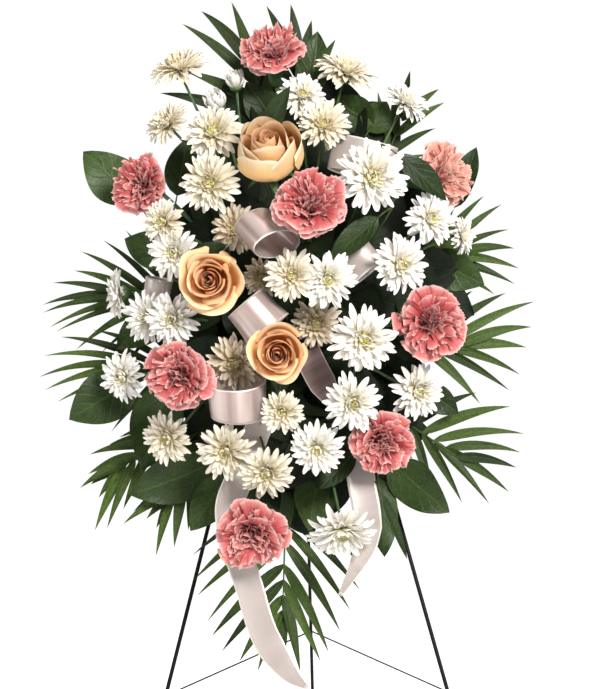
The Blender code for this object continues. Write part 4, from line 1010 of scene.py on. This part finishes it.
# ---- ribbon
def satin_material(name, low, high):
    """Satin: a soft crosswise sheen painted into the base colour, a fine weave and a tighter, brighter
    selvedge along both edges.
    """
    made, nodes = new_material(name)
    across, along, seed = nodes.petal()
    selvedge = nodes.ramp(nodes.maths("ABSOLUTE", across), (0.0, 0), (0.90, 0), (0.94, 1), (1.0, 1))
    thread = nodes.noise(nodes.vector(nodes.times(across, 2.0), nodes.times(along, 60.0), seed), 1.2, 1.0)
    # The base colour runs in bands between the low and high colours: a painted sheen.
    soft = nodes.noise(nodes.vector(nodes.times(across, 0.12), nodes.times(along, 9.0), seed), 1.5, 1.0)
    base = nodes.ramp(soft, (0.30, low), (0.70, high))
    base = nodes.mix(nodes.times(thread, 0.05), base, (0.90, 0.78, 0.73))
    base = nodes.mix(nodes.times(selvedge, 0.55), base, (0.96, 0.91, 0.88))
    rough = nodes.plus(nodes.plus(nodes.times(thread, 0.05), 0.30), nodes.times(selvedge, 0.20))
    lift = nodes.plus(nodes.times(thread, 0.2), nodes.times(selvedge, 0.8))
    nodes.surface(Base_Color=base, Roughness=rough, Normal=nodes.bump(lift, 0.20, 0.0001),
                  Specular_IOR_Level=0.55, Metallic=0.40, Sheen_Weight=0.15)
    return made


# Copies of one ribbon that differ in painted light: the pale copy has a weak painted sheen; the loops' copy
# runs from a much darker low, so it paints a stronger sheen and painted shade; the shaded copy is painted
# shade.
SATIN = satin_material("pale_satin", (0.55, 0.475, 0.445), (0.62, 0.55, 0.515))
LOOP_SATIN_STRONG_SHEEN = satin_material("loop_satin_strong_sheen", (0.33, 0.235, 0.21), (0.62, 0.51, 0.48))
SHADED_SATIN = satin_material("shaded_satin", (0.20, 0.125, 0.12), (0.30, 0.20, 0.19))

RIBBON_WIDTH = 0.036
TAIL_WIDTH = 0.028
RIBBON_THICKNESS = 0.0003
LOOP_STEPS = 61
TAIL_STEPS = 8
# How deep a ribbon is cupped, as a share of its half width.
LOOP_CUP = 0.05
TAIL_CUP = 0.06
TAIL_SHEEN_SEED = 3.0
# Tails: points (x, y from the hinge, z) down the middle, and the way the ribbon's width lies at each.
LEFT_TAIL = (
    ((-0.034, -0.146, 0.918), (0.90, 0.30, 0.2)), ((-0.048, -0.150, 0.885), (0.95, 0.30, 0.1)),
    ((-0.061, -0.160, 0.852), (1.0, 0.1, 0.0)),
    ((-0.072, -0.166, 0.822), (1.0, 0.0, 0.0)), ((-0.068, -0.166, 0.788), (1.0, 0.0, 0.1)),
    ((-0.054, -0.172, 0.745), (1.0, 0.0, 0.2)), ((-0.040, -0.184, 0.700), (0.95, 0.0, 0.35)),
    ((-0.018, -0.198, 0.664), (0.80, 0.0, 0.60)), ((0.000, -0.205, 0.646), (0.70, 0.0, 0.70)),
)
RIGHT_TAIL = (
    ((0.052, -0.148, 0.872), (1.0, 0.2, 0.1)), ((0.056, -0.152, 0.862), (1.0, 0.1, 0.1)),
    ((0.060, -0.158, 0.838), (1.0, 0.0, 0.0)), ((0.064, -0.164, 0.812), (1.0, 0.0, 0.05)),
    ((0.064, -0.168, 0.782), (1.0, 0.0, 0.15)), ((0.058, -0.174, 0.763), (0.95, 0.0, 0.35)),
    ((0.046, -0.182, 0.742), (0.8, 0.0, 0.55)),
)
STREAMER = (
    ((0.006, -0.152, 0.975), (0.8, 0.2, 0.6)), ((0.018, -0.151, 0.950), (0.8, 0.2, 0.5)),
    ((0.030, -0.147, 0.928), (0.8, 0.3, 0.4)), ((0.040, -0.138, 0.908), (0.8, 0.4, 0.3)),
)
# Loops: centre, the way the ribbon's width lies, the way the loop is long, half length, half depth, satin.
LOOPS = (
    ("a", (-0.029, -0.192, 1.093), (0.50, -0.45, -0.50), (-0.75, 0.0, 0.50), 0.029, 0.018, LOOP_SATIN_STRONG_SHEEN),
    ("b", (-0.040, -0.185, 1.012), (0.64, -0.10, -0.77), (0.78, 0.10, 0.62), 0.022, 0.015, LOOP_SATIN_STRONG_SHEEN),
    ("c", (-0.060, -0.184, 0.932), (0.0, -0.30, 0.95), (1.0, 0.0, 0.0), 0.027, 0.024, LOOP_SATIN_STRONG_SHEEN),
    ("d", (-0.142, -0.126, 1.030), (0.20, -0.10, 1.0), (1.0, 0.1, -0.2), 0.012, 0.010, SATIN),
    ("e", (0.064, -0.132, 1.163), (0.30, 0.25, 1.0), (1.0, -0.1, -0.05), 0.031, 0.013, SATIN),
    ("f", (0.058, -0.150, 1.064), (0.60, -0.20, -0.75), (0.75, 0.10, 0.60), 0.021, 0.011, SATIN),
)


def normalised(ways):
    return ways / np.linalg.norm(ways, axis=1)[:, None]


def band(name, points, across, widths, cup_share, seed, satin):
    """A ribbon strip along points, a little cupped; across gives its width's way at each point."""
    across = normalised(across)
    tangent = normalised(np.gradient(points, axis=0))
    across = normalised(across - tangent * (across * tangent).sum(axis=1)[:, None])
    s = np.linspace(-1.0, 1.0, 13)
    half = widths[:, None] / 2
    cup = cup_share * half * (s ** 2 - 0.4)
    sheets = Sheets()
    sheets.grid(points[:, None] + across[:, None] * (half * s)[..., None]
                + np.cross(tangent, across)[:, None] * cup[..., None], BLADE, seed)
    return sheets.build(name, [satin], RIBBON_THICKNESS)


def spline(points, steps):
    """A smooth curve through the points (Catmull-Rom), with steps between each two."""
    points = np.asarray(points, float)
    padded = np.vstack([2 * points[0] - points[1], points, 2 * points[-1] - points[-2]])
    curve = []
    for index in range(1, len(padded) - 2):
        a, b, c, d = padded[index - 1:index + 3]
        for t in np.arange(steps) / steps:
            curve.append(0.5 * (2 * b + (c - a) * t + (2 * a - 5 * b + 4 * c - d) * t ** 2
                                + (3 * b - a - 3 * c + d) * t ** 3))
    return np.array([*curve, points[-1]])


def make_loop(letter, centre, width_way, long_way, half_length, half_depth, satin):
    rng = np.random.default_rng(SEEDS["loop"] + ord(letter))
    axis = unit(width_way)
    run = unit(np.asarray(long_way) - axis * np.dot(long_way, axis))
    depth = np.cross(axis, run)
    if depth[1] > 0:
        depth = -depth
    turns = np.linspace(-0.5 * math.pi, 1.5 * math.pi, LOOP_STEPS)[:, None]
    phase = rng.uniform(*PHASES)
    swell = 1.0 + 0.05 * np.sin(2 * turns + phase) + 0.03 * np.sin(3 * turns + phase * 1.7)
    points = (place_point(centre) + run * half_length * swell * np.cos(turns)
              + depth * half_depth * swell * np.sin(turns))
    lean = axis + 0.10 * run * np.sin(turns + phase)
    widths = np.full(LOOP_STEPS, RIBBON_WIDTH)
    piece = band(f"ribbon_loop_{letter}", points, lean, widths, LOOP_CUP, phase, satin)
    finish_piece(piece, "ribbon_bow")


def make_tail(name, node, route, tip_side, taper, satin):
    """A hanging tail, cut to a point over its last steps; tip_side says which edge the point is on."""
    points = spline([place_point(place) for place, _ in route], TAIL_STEPS)
    across = spline([unit(way) for _, way in route], TAIL_STEPS)
    widths = np.full(len(points), TAIL_WIDTH)
    widths[-taper:] = TAIL_WIDTH * np.linspace(1.0, 0.08, taper) ** 0.8
    points = points + normalised(across) * ((TAIL_WIDTH - widths) / 2 * tip_side)[:, None]
    piece = band(name, points, across, widths, TAIL_CUP, TAIL_SHEEN_SEED, satin)
    finish_piece(piece, node)


def make_ribbon():
    for loop in LOOPS:
        make_loop(*loop)
    make_tail("left_tail", "ribbon_tail_left", LEFT_TAIL, 0.3, 14, SATIN)
    make_tail("right_tail", "ribbon_tail_right", RIGHT_TAIL, -1.0, 22, SATIN)
    make_tail("short_streamer", "ribbon_bow", STREAMER, 0.0, 14, SHADED_SATIN)


# ---- easel and foam holder
def paint_material(name, dark, light, roughness, metallic, scale):
    made, nodes = new_material(name)
    grain = nodes.noise(nodes.place(), scale, 4.0, 0.6)
    nodes.surface(Base_Color=nodes.ramp(grain, (0.3, dark), (0.72, light)),
                  Roughness=nodes.plus(nodes.times(grain, 0.2), roughness - 0.1),
                  Normal=nodes.bump(grain, 0.25, 0.0003), Metallic=metallic, Specular_IOR_Level=0.14)
    return made


def paint_cad():
    """Paints the CAD nodes that no piece replaces."""
    black = paint_material("easel_black", (0.002, 0.002, 0.002), (0.006, 0.006, 0.006), 0.42, 0.0, 400.0)
    green = paint_material("cage_plastic", (0.012, 0.060, 0.020), (0.020, 0.085, 0.030), 0.42, 0.0, 220.0)
    foam = paint_material("wet_foam", (0.012, 0.040, 0.016), (0.032, 0.080, 0.034), 0.95, 0.0, 700.0)
    wire = paint_material("tie_wire", (0.020, 0.060, 0.020), (0.035, 0.090, 0.032), 0.45, 0.1, 300.0)
    wood = paint_material("pick_wood", (0.05, 0.11, 0.04), (0.10, 0.18, 0.07), 0.75, 0.0, 260.0)
    finishes = {"cage_tray": green, "foam_block": foam, "upper_tie": wire, "lower_tie": wire,
                "bow_pick": wood}
    for name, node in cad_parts.items():
        if not node.hide_render:
            node.data.materials.clear()
            node.data.materials.append(finishes.get(name, black))


# ---- stage
WHITE = (1.0, 1.0, 1.0)
FLOOR_SIZE = 12.0
SKY_STRENGTH = 0.22
SKY_STRENGTH_SEEN = 0.80
LAMP_TARGET = Vector((0.0, -0.2, 0.95))
# Lamps: name, place, size, power and colour.
LAMPS = (
    ("key", (1.1, -2.5, 2.4), 0.8, 104.0, (1.0, 0.975, 0.94)),
    ("fill", (-2.2, -2.0, 1.6), 1.4, 20.0, (1.0, 0.98, 0.95)),
    ("top", (0.2, 0.3, 3.2), 1.2, 13.0, (1.0, 0.99, 0.97)),
    ("back", (-1.0, 2.6, 2.2), 1.6, 34.0, WHITE),
)


def make_sky():
    world = bpy.data.worlds.new("studio")
    bpy.context.scene.world = world
    world.use_nodes = True
    nodes = Nodes(world.node_tree)
    sky = world.node_tree.nodes["Background"]
    seen = nodes.add("LightPath").outputs["Is Camera Ray"]
    nodes.feed(sky.inputs["Strength"], nodes.plus(nodes.times(seen, SKY_STRENGTH_SEEN), SKY_STRENGTH))
    nodes.feed(sky.inputs["Color"], WHITE)


def make_floor():
    """A white floor that shines less round the feet, so that they keep a soft contact shadow."""
    bpy.ops.mesh.primitive_plane_add(size=FLOOR_SIZE)
    floor = bpy.context.object
    floor.name = "studio_floor"
    made, nodes = new_material("floor_white")
    tone = nodes.ramp(nodes.noise(nodes.place(), 3.0, 3.0), (0.3, 0.86), (0.7, 0.88))
    spread = nodes.add("VectorMath", {0: nodes.place()}, operation="LENGTH").outputs["Value"]
    glow = nodes.ramp(nodes.maths("DIVIDE", spread, 3.0), (0.25, 0.04), (0.75, 0.85))
    nodes.surface(Base_Color=tone, Roughness=0.9, Emission_Color=WHITE, Emission_Strength=glow)
    floor.data.materials.append(made)


def make_lamps():
    for name, place, size, power, colour in LAMPS:
        light = bpy.data.lights.new(name, "AREA")
        light.size = size
        light.energy = power
        light.color = colour
        lamp = bpy.data.objects.new(name, light)
        lamp.location = place
        lamp.rotation_euler = (LAMP_TARGET - Vector(place)).to_track_quat("-Z", "Y").to_euler()
        bpy.context.scene.collection.objects.link(lamp)


CAMERA_DISTANCE = 2.6
CAMERA_PITCH = math.radians(4.9)
CAMERA_TURN = math.radians(1.25)
CAMERA_ROLL = math.radians(-1.06)
SENSOR_WIDTH = 36.0
VIEW_HEIGHT = 0.689
AIM = Vector((-0.005, HINGE_Y - 0.12, 0.9785))


def make_camera():
    lens = bpy.data.cameras.new("camera")
    lens.sensor_width = SENSOR_WIDTH
    lens.lens = SENSOR_WIDTH * CAMERA_DISTANCE / VIEW_HEIGHT
    camera = bpy.data.objects.new("camera", lens)
    bpy.context.scene.collection.objects.link(camera)
    back = Vector((math.sin(CAMERA_TURN) * math.cos(CAMERA_PITCH),
                   -math.cos(CAMERA_TURN) * math.cos(CAMERA_PITCH), math.sin(CAMERA_PITCH)))
    turn = (-back).to_track_quat("-Z", "Y").to_matrix().to_4x4() @ Matrix.Rotation(CAMERA_ROLL, 4, "Z")
    camera.matrix_world = Matrix.Translation(AIM + back * CAMERA_DISTANCE) @ turn
    bpy.context.scene.camera = camera
    bpy.context.scene.view_settings.view_transform = "Standard"


make_camera()
make_sky()
make_floor()
make_lamps()
make_single_flowers("carnation", CARNATIONS, carnation_head, CARNATION_STEM)
make_single_flowers("rose", ROSES, rose_head, ROSE_STEM)
make_mums()
make_foliage()
make_ribbon()
paint_cad()
